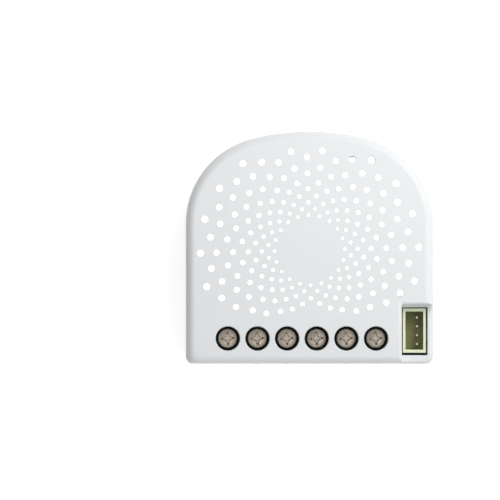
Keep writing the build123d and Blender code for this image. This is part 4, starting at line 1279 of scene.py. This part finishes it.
@dataclass
class TerminalBlock:
    """Housing, contacts and the plain numbers printed over the openings."""

    housing_round: float = 0.1
    contact_round: float = 0.1
    number_height: float = 1.55
    font_share: float = 0.7
    number_base: float = 15.5
    wall_y: float = -19.635
    ink: float = 0.012

    def build(self) -> None:
        """Builds the green housing and the tinned contacts."""
        make_piece("screw_block_housing", softened("terminal_housing", self.housing_round),
                   GREEN_NYLON, Body.MODULE.value, "terminal_green", "terminal_housing")
        make_piece("contact_tongues", softened("terminal_contacts", self.contact_round),
                   TONGUE_TIN, Body.MODULE.value, "tinned_contact", "terminal_contacts")
        self.print_numbers()

    def print_numbers(self) -> None:
        """Prints 1 to 6 over the openings, as a thin layer of ink on the case wall."""
        shape = bmesh.new()
        upright = Matrix.Rotation(math.radians(90), 4, "X")
        for number, x in enumerate(POLE_XS, start=1):
            text = bpy.data.curves.new("number", "FONT")
            text.body = str(number)
            text.size = self.number_height / self.font_share
            text.align_x = "CENTER"
            text.extrude = self.ink
            holder = in_scene("number", text)
            bpy.context.view_layer.update()
            graph = bpy.context.evaluated_depsgraph_get()
            mesh = bpy.data.meshes.new_from_object(holder.evaluated_get(graph))
            mesh.transform(Matrix.Translation((x, self.wall_y, self.number_base)) @ upright)
            shape.from_mesh(mesh)
            bpy.data.objects.remove(holder)
            bpy.data.curves.remove(text)
            bpy.data.meshes.remove(mesh)
        make_piece("terminal_numbers", close_up(shape), GREY_INK, Body.MODULE.value,
                   "case_white")


@dataclass
class PinHeader:
    """The four-way header in the stepped corner."""

    shroud_round: float = 0.07
    pin_round: float = 0.14

    def build(self) -> None:
        """Builds the shroud and its pins."""
        make_piece("header_shroud", softened("header_shell", self.shroud_round), IVORY_NYLON,
                   Body.MODULE.value, "header_ivory", "header_shell")
        make_piece("header_pin_row", softened("header_pins", self.pin_round), PIN_TIN,
                   Body.MODULE.value, "header_pin_plate", "header_pins")


@dataclass
class Indicators:
    """The light pipe and the push button that reach the face through the guide boss."""

    pipe_place: tuple[float, float] = (7.29, 14.78)
    pipe_radius: float = 0.52
    pipe_low: float = 11.9
    pipe_top: float = 20.3
    button_place: tuple[float, float] = (10.46, 14.74)
    button_radius: float = 0.6
    button_low: float = 12.4
    button_top: float = 20.25
    flange_radius: float = 1.12
    flange_low: float = 14.18
    flange_top: float = 14.98
    dome: float = 0.12
    dome_steps: int = 5
    flats: int = 32

    def rod(self, radius: float, top: float) -> list[tuple[float, float]]:
        """Profile of a rod's rounded end, from its side to the axis.

        Args:
            radius: Of the rod.
            top: Where it ends.

        Returns:
            Radius and height of each point.
        """
        return [(radius * math.cos(turn), top - self.dome * (1 - math.sin(turn)))
                for turn in quarter_turns(self.dome_steps)]

    def build(self) -> None:
        """Builds both."""
        pipe = bmesh.new()
        add_turned(pipe, *self.pipe_place, [
            (0, self.pipe_low), (self.pipe_radius, self.pipe_low),
            *self.rod(self.pipe_radius, self.pipe_top)], self.flats)
        make_piece("status_light_pipe", close_up(pipe), OPAL_ROD, Body.MODULE.value,
                   "clear_pipe", "light_pipe")
        button = bmesh.new()
        edge = self.dome / 2
        add_turned(button, *self.button_place, [
            (0, self.button_low), (self.button_radius, self.button_low),
            (self.button_radius, self.flange_low), (self.flange_radius - edge, self.flange_low),
            (self.flange_radius, self.flange_low + edge),
            (self.flange_radius, self.flange_top - edge),
            (self.flange_radius - edge, self.flange_top), (self.button_radius, self.flange_top),
            *self.rod(self.button_radius, self.button_top)], self.flats)
        make_piece("push_button", close_up(button), OPAL_ROD, Body.BUTTON.value, "case_white",
                   "action_button")


@dataclass
class Studio:
    """Pale floor, soft light from the upper right, and the camera straight above, in metres."""

    floor_half: float = 0.6
    floor_drop: float = 0.00005
    floor_paint: str = "#F4F4F4"
    camera_place: tuple[float, float, float] = (-0.01008, -0.00042, 1.7065)
    lens: float = 720.0
    sensor: float = 36.0
    # Strength of the sky: everywhere, by direction, and by direction on both sides alike
    sky_level: float = 0.05
    sky_lean: tuple[float, float, float] = (0.4, -0.06, 0.25)
    sky_sides: tuple[float, float, float] = (0.0, 0.83, 0.0)
    # What gloss sees: the bright direction, how closely it is met, and the levels between
    gloss_way: tuple[float, float, float] = (0.45, -0.45, 0.77)
    gloss_range: tuple[float, float] = (0.5, 0.95)
    gloss_levels: tuple[float, float] = (0.22, 1.3)
    key_place: tuple[float, float, float] = (0.05, 0.06, 0.14)
    key_size: float = 0.08
    key_power: float = 0.115
    floor_lift: float = 0.62

    def seen_rays(self, tree: Tree) -> Socket:
        """Picks the rays that show a surface to the camera, directly, in gloss or through glass.

        Args:
            tree: The material's nodes.

        Returns:
            1 for these rays and 0 for the rest.
        """
        path = add_node(tree, "ShaderNodeLightPath")
        first = add_node(tree, "ShaderNodeMath", {"operation": "MAXIMUM"}, {
            0: path.outputs["Is Camera Ray"], 1: path.outputs["Is Glossy Ray"]}).outputs[0]
        return add_node(tree, "ShaderNodeMath", {"operation": "MAXIMUM"}, {
            0: first, 1: path.outputs["Is Transmission Ray"]}).outputs[0]

    def build_floor(self) -> None:
        """Lays the floor."""
        shape = bmesh.new()
        bmesh.ops.create_grid(shape, x_segments=1, y_segments=1, size=self.floor_half)
        mesh = bpy.data.meshes.new("studio_floor")
        shape.to_mesh(mesh)
        shape.free()
        floor = in_scene("studio_floor", mesh)
        floor.location.z = -self.floor_drop
        material = bpy.data.materials.new("painted_studio_floor")
        material.use_nodes = True
        tree = material.node_tree
        tree.nodes.clear()
        paint = add_node(tree, "ShaderNodeBsdfDiffuse", inputs={"Color": linear(self.floor_paint)})
        lift = add_node(tree, "ShaderNodeMath", {"operation": "MULTIPLY"}, {
            0: self.seen_rays(tree), 1: self.floor_lift}).outputs[0]
        glow = add_node(tree, "ShaderNodeEmission", inputs={"Strength": lift})
        both = add_node(tree, "ShaderNodeAddShader", inputs={
            0: paint.outputs[0], 1: glow.outputs[0]})
        add_node(tree, "ShaderNodeOutputMaterial", inputs={"Surface": both.outputs[0]})
        mesh.materials.append(material)

    def build_sky(self) -> None:
        """Sets a soft sky: strong beyond the crown, the terminal edge and the right side.

        There is little from above and none from the left. The camera sees it white, and metal
        sees it darken to the upper left.
        """
        world = bpy.data.worlds.new("studio_sky")
        world.use_nodes = True
        bpy.context.scene.world = world
        tree = world.node_tree
        tree.nodes.clear()
        way = add_node(tree, "ShaderNodeTexCoord").outputs["Generated"]
        folded = add_node(tree, "ShaderNodeVectorMath", {"operation": "ABSOLUTE"}, {
            0: way}).outputs["Vector"]
        lean, sides = (add_node(tree, "ShaderNodeVectorMath", {"operation": "DOT_PRODUCT"}, {
            0: source, 1: weights}).outputs["Value"]
            for source, weights in ((way, self.sky_lean), (folded, self.sky_sides)))
        both_sides = add_node(tree, "ShaderNodeMath", {"operation": "ADD"}, {
            0: sides, 1: self.sky_level}).outputs[0]
        level = add_node(tree, "ShaderNodeMath", {"operation": "ADD", "use_clamp": True}, {
            0: lean, 1: both_sides}).outputs[0]
        tilt = add_node(tree, "ShaderNodeVectorMath", {"operation": "DOT_PRODUCT"}, {
            0: way, 1: self.gloss_way}).outputs["Value"]
        sheen = add_node(tree, "ShaderNodeMapRange", inputs={
            "Value": tilt, "From Min": self.gloss_range[0], "From Max": self.gloss_range[1],
            "To Min": self.gloss_levels[0], "To Max": self.gloss_levels[1]}).outputs["Result"]
        path = add_node(tree, "ShaderNodeLightPath")
        seen = add_node(tree, "ShaderNodeMath", {"operation": "MAXIMUM"}, {
            0: path.outputs["Is Camera Ray"], 1: path.outputs["Is Transmission Ray"]}).outputs[0]
        shaders = [add_node(tree, "ShaderNodeBackground", inputs={
            "Color": linear("#FFFFFF"), "Strength": strength}).outputs[0]
            for strength in (level, sheen, 1.0)]
        soft = add_node(tree, "ShaderNodeMixShader", inputs={
            0: path.outputs["Is Glossy Ray"], 1: shaders[0], 2: shaders[1]}).outputs[0]
        both = add_node(tree, "ShaderNodeMixShader", inputs={
            0: seen, 1: soft, 2: shaders[2]}).outputs[0]
        add_node(tree, "ShaderNodeOutputWorld", inputs={"Surface": both})

    def build(self) -> None:
        """Builds floor, sky, key lamp and camera."""
        self.build_floor()
        self.build_sky()
        lamp = bpy.data.lights.new("key_softbox", "AREA")
        lamp.energy = self.key_power
        lamp.size = self.key_size
        key = in_scene("key_softbox", lamp)
        key.location = self.key_place
        key.rotation_euler = (-Vector(self.key_place)).to_track_quat("-Z", "Y").to_euler()
        key.visible_camera = False
        key.visible_glossy = False
        camera_data = bpy.data.cameras.new("catalogue_camera")
        camera_data.lens = self.lens
        camera_data.sensor_width = self.sensor
        camera = in_scene("catalogue_camera", camera_data)
        camera.location = self.camera_place
        bpy.context.scene.camera = camera
        bpy.context.scene.view_settings.view_transform = "Standard"


def dress_kept_nodes() -> None:
    """Gives every CAD node that keeps its shape its finish."""
    for finish, names in KEPT_NODES.items():
        for name in names:
            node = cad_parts[name]
            if not node.material_slots:
                node.data.materials.append(finish.material())
            for slot in node.material_slots:
                slot.material = finish.material()
            LOG.info("%s keeps its shape, in %s", name, finish.name)


def main() -> None:
    """Builds the studio, then each sub-assembly in order."""
    logging.basicConfig(level=logging.INFO, format="%(message)s")
    Studio().build()
    case = Case()
    case.build_front(Vents())
    case.build_rear()
    TerminalBlock().build()
    RisingCage().build()
    TerminalScrew().build()
    PinHeader().build()
    Indicators().build()
    dress_kept_nodes()


if __name__ == "__main__":
    main()
